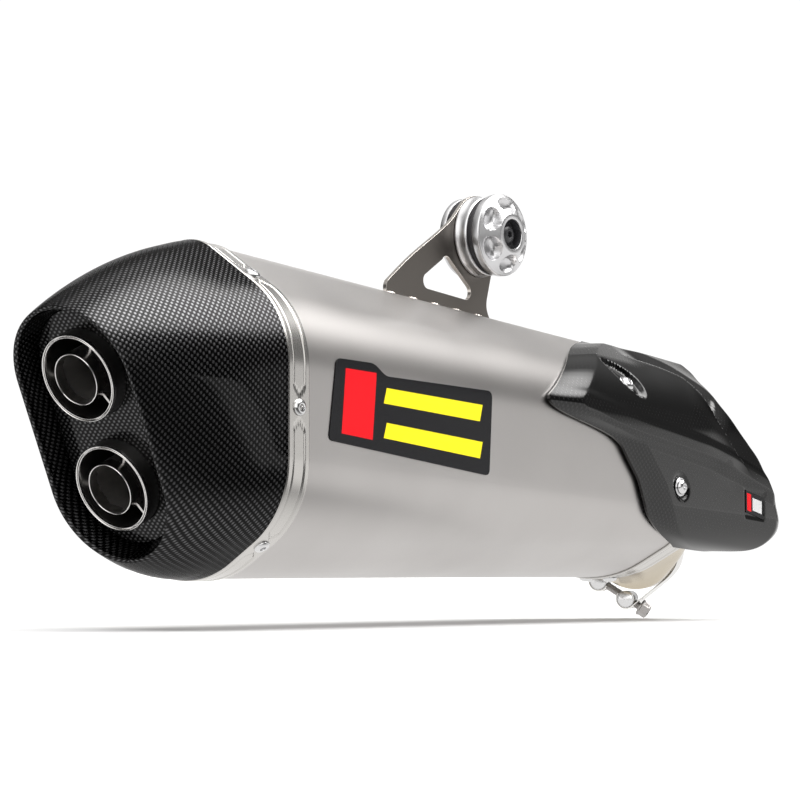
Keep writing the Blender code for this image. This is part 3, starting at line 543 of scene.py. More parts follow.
def panel_seat(trim, depth):
    return stadium(panel_half_length + trim, panel_half_width + trim, depth, cap_fractions)


rows = [can_ring(-0.3, 0.2), can_ring(-0.3, 0.7), can_ring(-0.6, 0.9)]
rows += [cap_flank(t / 100, 0.9 * (1 - t / 18) if t < 18 else 0.0) for t in range(2, 98, 3)]
rows += [cap_flank(0.985), cap_mouth(0.15, -0.15), cap_mouth(0.5, -0.35), cap_mouth(1.0, -0.42),
         cap_mouth(1.9, -0.38), cap_mouth(2.5, -0.1), cap_mouth(2.9, 0.5), cap_mouth(3.1, 1.4)]
wall_top = cap_mouth(3.2, 2.2)
wall_foot = panel_seat(0.0, panel_depth)
rows += [[a.lerp(b, k / 6) for a, b in zip(wall_top, wall_foot)] for k in range(7)]
rows += [panel_seat(0, panel_depth + 3), panel_seat(2.2, panel_depth + 3), cap_flank(0.70, -2.6),
         cap_flank(0.40, -2.6), cap_flank(0.10, -2.6), can_ring(0, -3.1), can_ring(16, -3.1),
         can_ring(16, -1.5), can_ring(-0.3, -1.5)]
cap = piece_from("end_cap_moulding", skin_rows(rows, closed_path=True, reference=34), cap_carbon)
stand_in(cap, "silencer", "carbon", "end_cap")


def plate_with_holes(loops, low, high, place):
    """A flat plate whose first loop is its outline and whose others are holes, between two heights."""
    skin = bmesh.new()
    layer = skin.loops.layers.uv.new("surface")
    maps = {}
    for loop in loops:
        verts = [skin.verts.new(place(u, v, high)) for u, v in loop]
        for vert, spot in zip(verts, loop):
            maps[tuple(round(c, 4) for c in vert.co)] = spot
        for a, b in zip(verts, verts[1:] + verts[:1]):
            skin.edges.new((a, b))
    bmesh.ops.triangle_fill(skin, use_beauty=True, edges=skin.edges[:])
    for face in skin.faces:
        for loop in face.loops:
            u, v = maps[tuple(round(c, 4) for c in loop.vert.co)]
            loop[layer].uv = (u * MM, v * MM)
    grown = bmesh.ops.extrude_face_region(skin, geom=skin.faces[:])
    shift = place(0, 0, low) - place(0, 0, high)
    moved = [part for part in grown["geom"] if isinstance(part, bmesh.types.BMVert)]
    bmesh.ops.translate(skin, vec=shift, verts=moved)
    return skin


def circle(u, v, radius, steps=72):
    return [(u + radius * math.cos(2 * math.pi * k / steps), v + radius * math.sin(2 * math.pi * k / steps))
            for k in range(steps)]


def panel_place(u, v, height):
    return face_point(v, u, panel_depth + height)


tip_heights = {"upper": 35.1, "lower": -35.1}
tip_radius = 27.5
panel_edge = stadium(panel_half_length - 0.3, panel_half_width - 0.3, 0, [k / 160 for k in range(160)])
panel_loops = [[((p - face_centre).y, (p - face_centre).dot(face_up)) for p in panel_edge]]
panel_loops += [circle(0, up, tip_radius + 0.3) for up in tip_heights.values()]
panel = piece_from("end_cap_inner_panel", plate_with_holes(panel_loops, 0.2, 2.2, panel_place), cap_carbon)
stand_in(panel, "silencer", "carbon", "end_cap_panel")

# ---------------------------------------------------------------------------------------------
# Outlet tips: each is a spun steel ring with a double rolled lip, polished where it shows and
# coloured darker with depth inside, and a thin inner tube carried in it on three welded webs.
# ---------------------------------------------------------------------------------------------
tip_bore, tip_setback, tip_length = 25.4, 2.9, 42.0
core_radius, core_wall, core_length = 16.3, 0.9, 50.0


def steel_darker_inward(name, bright, dark, start, end, rough):
    """Polished steel whose colour turns darker with depth behind the cap's face."""
    material, tree, shader = shader_material(name, 1.0)
    place = added(tree, "TexCoord").outputs["Object"]
    zero = at(*face_point(0, 0, tip_setback)).dot(inward)
    noise = added(tree, "TexNoise", Scale=160.0, Detail=4.0, Vector=place).outputs["Fac"]
    ragged = math_node(tree, "MULTIPLY", math_node(tree, "SUBTRACT", noise, 0.5), 0.004)
    depth = math_node(tree, "ADD", vector_node(tree, "DOT_PRODUCT", place, inward), ragged)
    inward_darkening_ramp = added(tree, "MapRange", From_Min=zero + start * MM, From_Max=zero + end * MM, Value=depth)
    inward_darkening_ramp.interpolation_type = "SMOOTHSTEP"
    inward_darkening = inward_darkening_ramp.outputs["Result"]
    fill(tree, shader.inputs["Base Color"], colour_mix(tree, inward_darkening, (*bright, 1), (*dark, 1)))
    base = math_node(tree, "ADD", math_node(tree, "MULTIPLY", inward_darkening, 0.22), rough)
    fill(tree, shader.inputs["Roughness"],
         math_node(tree, "ADD", base, math_node(tree, "MULTIPLY", noise, 0.06)))
    return material


tip_steel = steel_darker_inward("tip steel", (0.88, 0.87, 0.86), (0.22, 0.215, 0.21), 0.6, 3.0, 0.10)
core_steel = steel_darker_inward("core steel", (0.86, 0.85, 0.84), (0.66, 0.645, 0.63), -0.9, 12.0, 0.12)

for place_name, height in tip_heights.items():
    centre = face_point(height, 0, tip_setback)
    lip = [(1.2, tip_radius), (0.5, tip_radius - 0.05), (0.15, tip_radius - 0.2), (0, tip_radius - 0.45),
           (0.15, tip_radius - 0.7), (0.6, tip_radius - 0.85), (1.8, tip_radius - 0.9), (1.8, tip_bore + 0.7),
           (0.7, tip_bore + 0.65), (0.35, tip_bore + 0.5), (0.25, tip_bore + 0.32), (0.35, tip_bore + 0.12),
           (0.8, tip_bore), (3, tip_bore), (14, tip_bore), (tip_length, tip_bore), (tip_length, tip_radius),
           (14, tip_radius)]
    ring = piece_from(f"tip_ring_{place_name}", turned(lip, centre, inward, 112), tip_steel)
    stand_in(ring, "silencer", "tip_steel", f"tip_sleeve_{place_name}")
    bore = core_radius - core_wall
    mouth = [(-0.7, core_radius), (-1.25, core_radius - 0.12), (-1.5, core_radius - 0.45),
             (-1.25, bore + 0.12), (-0.7, bore), (2, bore), (20, bore), (core_length, bore),
             (core_length, core_radius), (20, core_radius), (2, core_radius)]
    tube = turned(mouth, centre, inward, 96)
    for degrees in (90, 210, 330):
        turn = math.radians(degrees)
        spoke = face_up * math.cos(turn) + Vector((0, math.sin(turn), 0))
        side = inward.cross(spoke)
        corners = ((core_radius - 0.5, 9), (tip_bore - 0.3, 9), (tip_bore - 0.3, 19), (core_radius - 0.5, 19))
        faces = [[tube.verts.new(centre + spoke * u + inward * v + side * lift) for u, v in corners]
                 for lift in (-0.8, 0.8)]
        tube.faces.new(faces[0][::-1])
        tube.faces.new(faces[1])
        for k in range(4):
            tube.faces.new((faces[0][k], faces[0][(k + 1) % 4], faces[1][(k + 1) % 4], faces[1][k]))
    stand_in(piece_from(f"tip_tube_{place_name}", tube, core_steel), "silencer", "tip_steel",
             f"tip_core_{place_name}")

# ---------------------------------------------------------------------------------------------
# Inside of the can: bent outlet pipes, plates and perforated core in plain stainless sheet, and
# glass packing round the core. They are seen only through the tips and the inlet.
# ---------------------------------------------------------------------------------------------
inner_steel = metal("inner steel", (0.20, 0.18, 0.16), (0.10, 0.09, 0.085), 0.5, 0.15, 400.0, 0.1)


def colour_ramp(tree, value, low, high):
    ramp = added(tree, "ValToRGB", Fac=value)
    for stop, colour in zip(ramp.color_ramp.elements, (low, high)):
        stop.color = (*colour, 1)
    return ramp.outputs["Color"]


glass_wool, wool_tree, wool_shader = shader_material("glass packing", 0.0, Roughness=0.95)
wool_fibres = added(wool_tree, "TexNoise", Scale=900.0, Detail=6.0).outputs["Fac"]
fill(wool_tree, wool_shader.inputs["Base Color"],
     colour_ramp(wool_tree, wool_fibres, (0.45, 0.40, 0.28), (0.80, 0.77, 0.66)))
for node, finish in (("outlet_pipe_upper", inner_steel), ("outlet_pipe_lower", inner_steel),
                     ("outlet_plate", inner_steel), ("middle_baffle", inner_steel),
                     ("perforated_core", inner_steel), ("packing", glass_wool)):
    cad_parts[node].data.materials.clear()
    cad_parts[node].data.materials.append(finish)

# ---------------------------------------------------------------------------------------------
# Hanger bracket: 3 mm titanium plate, laser cut with a window and an eye, so its faces are dull
# and its cut edges bright. Its foot is tacked along the can's ridge by short weld beads.
# ---------------------------------------------------------------------------------------------
bush_x, bush_z = 295.0, 235.0
bracket_sheet = 3.0
eye_radius, eye_bore = 28.5, 18.9
foot_rear, foot_front = 193.4, 313.0
plate_titanium = metal("plate titanium", (0.21, 0.195, 0.18), (0.17, 0.155, 0.14), 0.36, 0.08, 700.0, 0.05)
cut_titanium = metal("cut titanium", (0.86, 0.83, 0.79), (0.70, 0.64, 0.58), 0.16, 0.10, 500.0, 0.1,
                     (1, 6, 1))


def bracket_place(u, v, height):
    return Vector((bush_x + u, height, bush_z + v))


def ridge_height(x):
    return can_ring(x)[0].z


def smooth_path(points, steps=6):
    """A closed-ended path through points, rounded between them."""
    path = []
    for i in range(len(points) - 1):
        before, a, b = points[max(i - 1, 0)], points[i], points[i + 1]
        after = points[min(i + 2, len(points) - 1)]
        for k in range(steps):
            t = k / steps
            path.append(tuple(0.5 * (2 * p1 + (p2 - p0) * t + (2 * p0 - 5 * p1 + 4 * p2 - p3) * t * t
                                     + (3 * p1 - p0 - 3 * p2 + p3) * t ** 3)
                              for p0, p1, p2, p3 in zip(before, a, b, after)))
    return path + [tuple(points[-1])]


heel = smooth_path([(x - bush_x, z - bush_z) for x, z in
                    ((foot_rear, ridge_height(foot_rear) + 0.3), (193.2, 194.0), (194.6, 197.2),
                     (197.3, 199.6), (221.6, 217.0), (261.0, 241.5), (278.2, 258.1))], 4)[:-3]
eye = [(eye_radius * math.cos(math.radians(d)), eye_radius * math.sin(math.radians(d)))
       for d in range(126, -63, -3)]
toe = smooth_path([(eye[-1][0] + 0.2, eye[-1][1] - 0.6)] + [(x - bush_x, z + 2 - bush_z) for x, z in
                   ((305.4, 194.0), (304.0, 188.0), (304.6, 182.5), (308.6, 176.0))]
                  + [(foot_front - bush_x, ridge_height(foot_front) + 0.3 - bush_z)], 4)
window = []
for (x, z), radius, first, last in (((258.5, 214.0), 5.0, 150, 40), ((280.5, 196.0), 5.5, 40, -100),
                                    ((238.5, 200.5), 5.5, -100, -225)):
    for k in range(13):
        angle = math.radians(mix(first, last, k / 12))
        window.append((x + radius * math.cos(angle) - bush_x, z + radius * math.sin(angle) - bush_z))
bracket_skin = plate_with_holes([heel + eye + toe, window, circle(0, 0, eye_bore)], -bracket_sheet / 2,
                                bracket_sheet / 2, bracket_place)
bracket = piece_from("hanger_plate", bracket_skin, plate_titanium, bevel=0.45)
bracket.data.materials.append(cut_titanium)
for face in bracket.data.polygons:
    face.material_index = 0 if abs(face.normal.y) > 0.9 else 1
bracket.modifiers["edges"].material = 1
stand_in(bracket, "silencer", "titanium", "hanger_bracket")

bead_pitch = 24.0
beads = bmesh.new()
station = foot_rear + 4
while station < foot_front - 2:
    for side in (-1, 1):
        rows = []
        for k in range(19):
            along = k / 18 * 2 - 1
            swell = math.sqrt(max(0.0, 1 - along ** 4)) * (1 + 0.12 * math.sin(along * 22))
            x = station + along * 4.4
            seat = Vector((x, side * bracket_sheet / 2, ridge_height(x) + 0.25))
            rows.append([seat + Vector((0, side * 1.5 * swell * math.cos(a), 1.3 * swell * math.sin(a)))
                         for a in (2 * math.pi * i / 12 for i in range(12))])
        bead = skin_rows(rows)
        bmesh.ops.holes_fill(bead, edges=[e for e in bead.edges if e.is_boundary], sides=0)
        scratch = bpy.data.meshes.new("bead")
        bead.to_mesh(scratch)
        bead.free()
        beads.from_mesh(scratch)
        bpy.data.meshes.remove(scratch)
    station += bead_pitch
stand_in(piece_from("hanger_weld_beads", beads, cut_titanium), "silencer", "titanium")

# ---------------------------------------------------------------------------------------------
# Hanger bush: an aluminium collar in front of the plate, two black rubber halves through the eye,
# turned aluminium discs outside them, the front one with six scalloped pockets, and an M8 bolt.
# ---------------------------------------------------------------------------------------------
bush_axis = Vector((0, 1, 0))
bush_centre = bracket_place(0, 0, 0)
spacer_radius, bolt_radius = 7.5, 4.0
milled_aluminium = metal("milled aluminium", (0.80, 0.80, 0.81), (0.70, 0.70, 0.71), 0.30, 0.08, 1200.0, 0.05)


def black_moulding(name, colour, rough, grain, shine=0.5):
    """Black rubber or blackened steel: fine mottled grain with a slightly dusty tone."""
    material, tree, shader = shader_material(name, 0.0, Specular_IOR_Level=shine)
    noise = added(tree, "TexNoise", Scale=grain, Detail=5.0).outputs["Fac"]
    fill(tree, shader.inputs["Base Color"],
         colour_ramp(tree, noise, [c * 0.7 for c in colour], [c * 1.5 for c in colour]))
    fill(tree, shader.inputs["Roughness"],
         math_node(tree, "ADD", math_node(tree, "MULTIPLY", noise, 0.16), rough))
    fill(tree, shader.inputs["Normal"], relief(tree, noise, 0.1))
    return material


black_rubber = black_moulding("bush rubber", (0.016, 0.015, 0.017), 0.48, 700.0)
black_steel = black_moulding("blackened steel", (0.022, 0.022, 0.024), 0.22, 900.0)

collar_profile = [(-11.2, 26.0), (-11.1, 26.4), (-10.7, 26.9), (-10.0, 27.2), (-8.4, 27.0), (-6.6, 27.0),
                  (-4.8, 27.3), (-3.4, 27.9), (-2.6, 28.2), (-2.0, 28.1), (-1.8, 27.8), (-1.8, eye_bore),
                  (-11.2, eye_bore)]
collar = turned(collar_profile, bush_centre, bush_axis, 112)
stand_in(piece_from("bush_collar_ring", collar, milled_aluminium), "silencer", "aluminium", "bush_collar")
hub = eye_bore - 0.3
for name, profile in (
        ("front", [(-15.7, 26.0), (-15.6, 26.5), (-15.1, 26.9), (-14.3, 27.0), (-12.6, 27.0), (-11.9, 26.8),
                   (-11.5, 26.4), (-11.5, hub), (-0.3, hub), (-0.3, spacer_radius + 0.3),
                   (-15.7, spacer_radius + 0.3)]),
        ("rear", [(6.8, 26.0), (6.7, 26.5), (6.2, 26.9), (5.4, 27.0), (3.0, 27.0), (2.3, 26.8), (1.8, 26.3),
                  (1.8, hub), (0.3, hub), (0.3, spacer_radius + 0.3), (6.8, spacer_radius + 0.3)])):
    rubber = piece_from(f"bush_rubber_{name}_half", turned(profile, bush_centre, bush_axis, 96), black_rubber)
    stand_in(rubber, "silencer", "rubber", f"bush_rubber_{name}")

pocket_centre, pocket_radial, pocket_round, pocket_floor = 20.5, 6.3, 8.7, -22.0
disc_steps, disc_radius, recess_radius = 240, 28.2, 10.2
cone_inner, cone_outer = 13.8, 27.3
pocket_turn, first_pocket = 60, 32


def disc_face(radius, turn):
    """Distance along the bush axis of the front disc's face: a cone with scalloped pockets cut in it."""
    cone = mix(-30.9, -22.5, (radius - cone_inner) / (cone_outer - cone_inner))
    nearest = round((math.degrees(turn) - first_pocket) / pocket_turn) * pocket_turn + first_pocket
    off = math.radians(math.degrees(turn) - nearest)
    reach = math.hypot((radius * math.cos(off) - pocket_centre) / pocket_radial,
                       radius * math.sin(off) / pocket_round)
    if reach >= 1:
        return cone
    dished = pocket_floor - 2.6 * reach ** 3
    return max(cone, mix(cone, max(dished, cone), ease((1 - reach) / 0.10)))


disc_rings = []
for along, radius in ((-16.0, 4.3), (-16.0, 20), (-16.0, 27.0), (-16.2, 27.5), (-16.8, 28.05),
                      (-17.6, disc_radius), (-21.4, disc_radius), (-22.0, 28.05), (-22.35, 27.7)):
    disc_rings.append([(along, radius)] * disc_steps)
for k in range(37):
    radius = mix(cone_outer, cone_inner, k / 36)
    disc_rings.append([(disc_face(radius, 2 * math.pi * i / disc_steps), radius) for i in range(disc_steps)])
for along, radius in ((-31, 13.3), (-31, 10.9), (-30.85, 10.5), (-30.4, recess_radius),
                      (-24.1, recess_radius), (-24, 9.8), (-24, 4.3)):
    disc_rings.append([(along, radius)] * disc_steps)
rows = [[bush_centre + bush_axis * along + Vector((radius * math.cos(2 * math.pi * i / disc_steps), 0,
                                                   radius * math.sin(2 * math.pi * i / disc_steps)))
         for i, (along, radius) in enumerate(ring)] for ring in disc_rings]
front_disc = piece_from("bush_front_disc", skin_rows(rows, closed_path=True), milled_aluminium)
front_disc.data.materials.append(black_steel)
bush_middle = at(*bush_centre)
# Painted shade: the recess round the bolt's head and the bore take the blackened steel finish, though the
# disc is aluminium.
for face in front_disc.data.polygons:
    offset = (face.center - bush_middle) / MM
    if math.hypot(offset.x, offset.z) < recess_radius + 0.1:
        face.material_index = 1
stand_in(front_disc, "bush_hub", "aluminium", "bush_disc_front")
rear_disc = [(7.1, 26.4), (7.3, 26.9), (7.9, 27.2), (11.1, 27.2), (11.7, 26.9), (11.9, 26.4), (11.9, 14),
             (11.4, 13.2), (11.4, 8.5), (11.9, 8), (11.9, 4.3), (7.1, 4.3)]
stand_in(piece_from("bush_rear_disc", turned(rear_disc, bush_centre, bush_axis, 96), milled_aluminium),
         "bush_hub", "aluminium", "bush_disc_rear")
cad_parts["bush_spacer"].data.materials.clear()
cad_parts["bush_spacer"].data.materials.append(milled_aluminium)


def button_head(profile, socket_radius, socket_depth, origin, axis, steps=96):
    """A turned screw, from its tail to the top of its head, with a six-lobed socket sunk in the head."""
    axis = axis.normalized()
    helper = Vector((0, 0, 1)) if abs(axis.z) < 0.9 else Vector((1, 0, 0))
    across = axis.cross(helper).normalized()
    upward = across.cross(axis)
    top = profile[-1][0]

    def ring(along, radius, lobes=0.0):
        points = []
        for i in range(steps):
            turn = 2 * math.pi * i / steps
            reach = radius * (1 + lobes * math.cos(6 * turn))
            points.append(origin + axis * along + (upward * math.cos(turn) + across * math.sin(turn)) * reach)
        return points

    sink = math.copysign(socket_depth, top - profile[0][0])
    rows = [ring(along, radius) for along, radius in profile]
    rows += [ring(top, socket_radius * 1.12, 0.13), ring(top - sink * 0.08, socket_radius, 0.14),
             ring(top - sink, socket_radius * 0.96, 0.14), ring(top - sink * 1.1, socket_radius * 0.3)]
    skin = skin_rows(rows)
    bmesh.ops.holes_fill(skin, edges=[e for e in skin.edges if e.is_boundary], sides=0)
    return skin


bolt_profile = [(34, 3.0), (33, bolt_radius), (-24.3, bolt_radius), (-24.3, 6.9), (-25.4, 6.9),
                (-26.2, 6.75), (-27.0, 6.2), (-27.7, 5.4), (-28.2, 4.4), (-28.4, 3.6)]
bolt = button_head(bolt_profile, 2.3, 2.6, bush_centre, bush_axis)
stand_in(piece_from("hanger_button_bolt", bolt, black_steel), "hanger_bolt", "black_steel", "hanger_bolt")

# ---------------------------------------------------------------------------------------------
# Inlet: a pressed titanium cap closes the can and its collar carries a short tube that turns
# inwards. Heat has left both straw-coloured. The tube's end takes the link pipe and its clamp.
# ---------------------------------------------------------------------------------------------
inlet_centre = Vector((500.0, 3.0, 21.5))
inlet_turn = math.radians(24.0)
inlet_axis = Vector((math.cos(inlet_turn), math.sin(inlet_turn), 0))
inlet_side = Vector((math.sin(inlet_turn), -math.cos(inlet_turn), 0))
inlet_radius, inlet_wall = 28.7, 1.6
tube_start, tube_end = -24.0, 14.0
straw_titanium = metal("straw titanium", (0.66, 0.585, 0.44), (0.50, 0.45, 0.38), 0.22, 0.08, 900.0, 0.05)

cap_start = can_ring(sleeve_length, -1.5)
inlet_fractions = fractions_of(cap_start)


def collar_ring(along, radius):
    centre = inlet_centre + inlet_axis * along
    return [centre + Vector((0, 0, radius * math.cos(turn))) + inlet_side * radius * math.sin(turn)
            for turn in (2 * math.pi * f for f in inlet_fractions)]


def towards_collar(grow, t, target):
    start = can_ring(sleeve_length, grow)
    return [a.lerp(b, t) + Vector((5 * math.sin(math.pi * t), 0, 0)) for a, b in zip(start, target)]


collar_seat = inlet_radius + 0.6
outer_foot = collar_ring(tube_start, collar_seat + 1)
inner_foot = collar_ring(tube_start, collar_seat)
rows = [can_ring(sleeve_length + x, grow) for x, grow in ((-18, -1.5), (0.3, -1.5), (1.2, -1.2), (2, -0.8))]
rows += [towards_collar(mix(-0.8, -1.5, min(k / 3, 1)), k / 12, outer_foot) for k in range(1, 12)]
rows += [outer_foot, collar_ring(tube_start + 5.4, collar_seat + 1),
         collar_ring(tube_start + 6, collar_seat + 0.8), collar_ring(tube_start + 6, collar_seat), inner_foot]
rows += [towards_collar(-2.9, t, inner_foot) for t in (0.6, 0.25)]
rows += [can_ring(sleeve_length - 1, -2.9), can_ring(sleeve_length - 18, -2.9)]
stand_in(piece_from("inlet_pressing", skin_rows(rows, closed_path=True), straw_titanium), "silencer",
         "titanium", "inlet_cap")
bore = inlet_radius - inlet_wall
tube_profile = [(tube_start + 1, inlet_radius), (0, inlet_radius), (tube_end - 0.6, inlet_radius),
                (tube_end, inlet_radius - 0.5), (tube_end, bore + 0.4), (tube_end - 0.5, bore), (0, bore),
                (tube_start + 1, bore)]
inlet_pipe = turned(tube_profile, inlet_centre, inlet_axis, 128)
stand_in(piece_from("inlet_pipe", inlet_pipe, straw_titanium), "silencer", "titanium", "inlet_tube")

# ---------------------------------------------------------------------------------------------
# Inlet clamp: a two-part stainless strip rolled round a barrel at each side of its gap, a thin
# liner under the gap, and a flanged hex screw whose thread pulls the far barrel to the near one.
# ---------------------------------------------------------------------------------------------
band_radius, band_sheet = 30.3, 0.9
gap_direction = math.radians(-122.8)
barrel_reach, barrel_spread, barrel_radius, screw_radius = 36.9, 12.15, 6.2, 3.0
radial = inlet_side * math.cos(gap_direction) + Vector((0, 0, math.sin(gap_direction)))
screw_axis = radial.cross(inlet_axis)
clamp_steel = metal("clamp steel", (0.80, 0.79, 0.77), (0.66, 0.65, 0.63), 0.15, 0.06, 900.0, 0.04)
screw_steel = metal("screw steel", (0.48, 0.46, 0.45), (0.34, 0.33, 0.32), 0.24, 0.08, 900.0, 0.06)


def clamp_place(u, v, height):
    """u along the screw towards its head, v out through the gap, height along the inlet."""
    return inlet_centre + screw_axis * u + radial * v + inlet_axis * height


def arc_path(centre, radius, first, last, steps):
    path = []
    for k in range(steps + 1):
        angle = math.radians(mix(first, last, k / steps))
        path.append(centre + Vector((math.sin(angle), math.cos(angle))) * radius)
    return path


def strip_along(path, sheet, widths, slot_beyond=None):
    """A strip of sheet along a (u, v) path; past a distance from the inlet's axis its middle is cut away."""
    skin = bmesh.new()
    skin.loops.layers.uv.new("surface")
    lines = []
    for i, point in enumerate(path):
        run = (path[min(i + 1, len(path) - 1)] - path[max(i - 1, 0)]).normalized()
        side = Vector((-run.y, run.x)) * (sheet / 2)
        lines.append([[skin.verts.new(clamp_place(*(point + side * s), w)) for w in widths] for s in (1, -1)])
    slotted = [slot_beyond is not None and path[i].y > slot_beyond and path[i + 1].y > slot_beyond
               for i in range(len(path) - 1)]

    def solid(i, k):
        if not (0 <= i < len(path) - 1 and 0 <= k < len(widths) - 1):
            return False
        return not (slotted[i] and abs(widths[k] + widths[k + 1]) / 2 < 4)

    for i in range(len(path) - 1):
        for k in range(len(widths) - 1):
            if not solid(i, k):
                continue
            (a, b), (c, d) = lines[i], lines[i + 1]
            skin.faces.new((a[k], a[k + 1], c[k + 1], c[k]))
            skin.faces.new((b[k + 1], b[k], d[k], d[k + 1]))
            if not solid(i, k - 1):
                skin.faces.new((a[k], c[k], d[k], b[k]))
            if not solid(i, k + 1):
                skin.faces.new((c[k + 1], a[k + 1], b[k + 1], d[k + 1]))
            if not solid(i - 1, k):
                skin.faces.new((a[k + 1], a[k], b[k], b[k + 1]))
            if not solid(i + 1, k):
                skin.faces.new((c[k], c[k + 1], d[k + 1], d[k]))
    return skin


loop_radius = barrel_radius + 0.3 + band_sheet / 2
barrel_seat = Vector((barrel_spread, barrel_reach))
leave = (math.degrees(math.atan2(*barrel_seat))
         + math.degrees(math.acos((band_radius - loop_radius) / barrel_seat.length)))
half_band = arc_path(Vector((0, 0)), band_radius, 178.5, leave, 72)
half_band += arc_path(barrel_seat, loop_radius, leave, -95, 48)[1:]
clamp_widths = (-10, -9.6, -6, -4.2, 0, 4.2, 6, 9.6, 10)
for name, side, body in (("band", 1, "clamp_band"), ("jaw", -1, "clamp_jaw")):
    path = [Vector((p.x * side, p.y)) for p in half_band]
    strip = strip_along(path, band_sheet, clamp_widths, band_radius + 0.5)
    stand_in(piece_from(f"clamp_strip_{name}", strip, clamp_steel, bevel=0.2), body, "strap_steel",
             f"clamp_{name}")
liner_path = arc_path(Vector((0, 0)), band_radius - 1.0, leave + 14, -leave - 14, 60)
liner = strip_along(liner_path, 0.5, (-9, -4, 0, 4, 9))
stand_in(piece_from("clamp_gap_liner", liner, clamp_steel), "clamp_band", "strap_steel", "clamp_liner")


def drill_through(piece, drill_skin):
    """Cuts a turned drill out of a piece and keeps the result as the piece's own mesh."""
    drill = piece_from("drill", drill_skin, bright_steel)
    hole = piece.modifiers.new("hole", "BOOLEAN")
    hole.object = drill
    bpy.context.view_layer.update()
    cut = bpy.data.meshes.new_from_object(piece.evaluated_get(bpy.context.evaluated_depsgraph_get()))
    piece.modifiers.clear()
    cut.set_sharp_from_angle(angle=math.radians(35))
    while len(cut.materials) > 1:
        cut.materials.pop()
    piece.data = cut
    bpy.data.objects.remove(drill)


barrel_end = [(10.6, 5.2), (10.45, 5.5), (10.1, 5.7), (10.0, 6.1), (9.8, barrel_radius)]
barrel_profile = [(-along, radius) for along, radius in barrel_end] + barrel_end[::-1]
for name, side in (("near", 1), ("far", -1)):
    seat = clamp_place(barrel_spread * side, barrel_reach, 0)
    pin = turned(barrel_profile, seat, inlet_axis, 64, False)
    barrel = piece_from(f"clamp_barrel_pin_{name}", pin, bright_steel)
    drill_through(barrel, turned([(-12, 3.3), (12, 3.3)], seat, screw_axis, 48, False))
    stand_in(barrel, f"{name}_barrel", "rivet_steel", f"clamp_barrel_{name}")

thread_pitch, thread_depth = 1.1, 0.45
screw_head = barrel_spread + loop_radius + band_sheet / 2 + 3.4
screw_tail = -barrel_spread - barrel_radius - 13
screw_origin = clamp_place(0, barrel_reach, 0)


def screw_ring(along, reach_at):
    middle = screw_origin + screw_axis * along
    return [middle + (radial * math.cos(a) + inlet_axis * math.sin(a)) * reach_at(a)
            for a in (2 * math.pi * i / 72 for i in range(72))]


def thread_reach(along):
    def reach(turn):
        phase = (along / thread_pitch + turn / (2 * math.pi)) % 1.0
        return screw_radius - thread_depth * (1 - min(1.0, 2.6 * abs(phase - 0.5)))
    return reach


def hex_reach(across, rounding):
    def reach(turn):
        flat = math.pi / 3
        return min(across / math.cos((turn % flat) - flat / 2), rounding)
    return reach


rows = [screw_ring(screw_tail, lambda a: screw_radius - 0.9)]
thread_rings = int((screw_head - 1 - screw_tail) / thread_pitch * 8)
for k in range(thread_rings):
    along = screw_tail + 0.4 + k * thread_pitch / 8
    rows.append(screw_ring(along, thread_reach(along)))
rows += [screw_ring(screw_head + along, lambda a: radius)
         for along, radius in ((0, screw_radius), (0, 6.1), (0.3, 6.4), (1.1, 6.35))]
rows += [screw_ring(screw_head + along, hex_reach(across, rounding))
         for along, across, rounding in ((1.5, 5.1, 5.9), (1.9, 4.9, 5.65), (6.3, 4.9, 5.65),
                                         (6.9, 4.8, 5.1))]
rows += [screw_ring(screw_head + along, lambda a: radius)
         for along, radius in ((7.2, 4.6), (7.2, 3.6), (6.4, 3.2), (6.4, 0.4))]
screw = skin_rows(rows)
bmesh.ops.holes_fill(screw, edges=[e for e in screw.edges if e.is_boundary], sides=0)
stand_in(piece_from("clamp_flanged_screw", screw, screw_steel), "clamp_screw", "rivet_steel", "clamp_screw")

# ---------------------------------------------------------------------------------------------
# Heat shield: a lacquered carbon moulding on two bosses. Its rear edge is a woven facet, a shoulder
# runs forward under the upper screw, and a scoop is sunk behind the front edge above the shoulder.
# ---------------------------------------------------------------------------------------------
shield_sheet, shield_face = 2.0, 9.0
shield_top, shield_bottom = 25.0, 192.0
rear_knots = ((25, 386), (35, 364), (47, 344), (66, 318), (85, 293), (98, 276), (107, 262), (113, 270),
              (117, 294), (121, 328), (127, 348), (136, 356), (150, 370), (163, 376), (172, 381), (180, 395),
              (186, 413), (192, 436))
front_knots = ((25, 488), (33, 505), (47, 506), (71, 497), (85, 497), (102, 507), (117, 525), (139, 541),
               (150, 548), (160, 552), (168, 551), (176, 544), (181, 536), (186, 518), (192, 474))
shoulder = ((250, 103), (305, 105), (337, 110), (361, 113), (411, 116.5), (454, 120), (490, 126), (552, 140))
tongue_edge = ((396, 50), (423, 62), (445, 71), (457, 84), (464, 98), (480, 111))
upper_screw, lower_screw = (362.0, 87.0), (417.5, 150.0)
# One laminate in three copies of painted sheen: brightest on the rear facet, middle on the lower panel, near
# black above the shoulder.
shield_carbon = carbon("shield gloss carbon", 0.03, 0.1, 1.0)
facet_carbon_painted_sheen = carbon("shield facet carbon painted sheen", 0.26, 0.35, 0.15)
lower_carbon_painted_sheen = carbon("shield lower carbon painted sheen", 0.13, 0.3, 0.3)


def read_curve(knots, where):
    for (x0, y0), (x1, y1) in zip(knots, knots[1:]):
        if where <= x1:
            return mix(y0, y1, min(max((where - x0) / (x1 - x0), 0.0), 1.0))
    return knots[-1][1]


def soft_curve(knots, where, reach=3.0):
    return sum(read_curve(knots, where + reach * k / 2) for k in range(-2, 3)) / 5


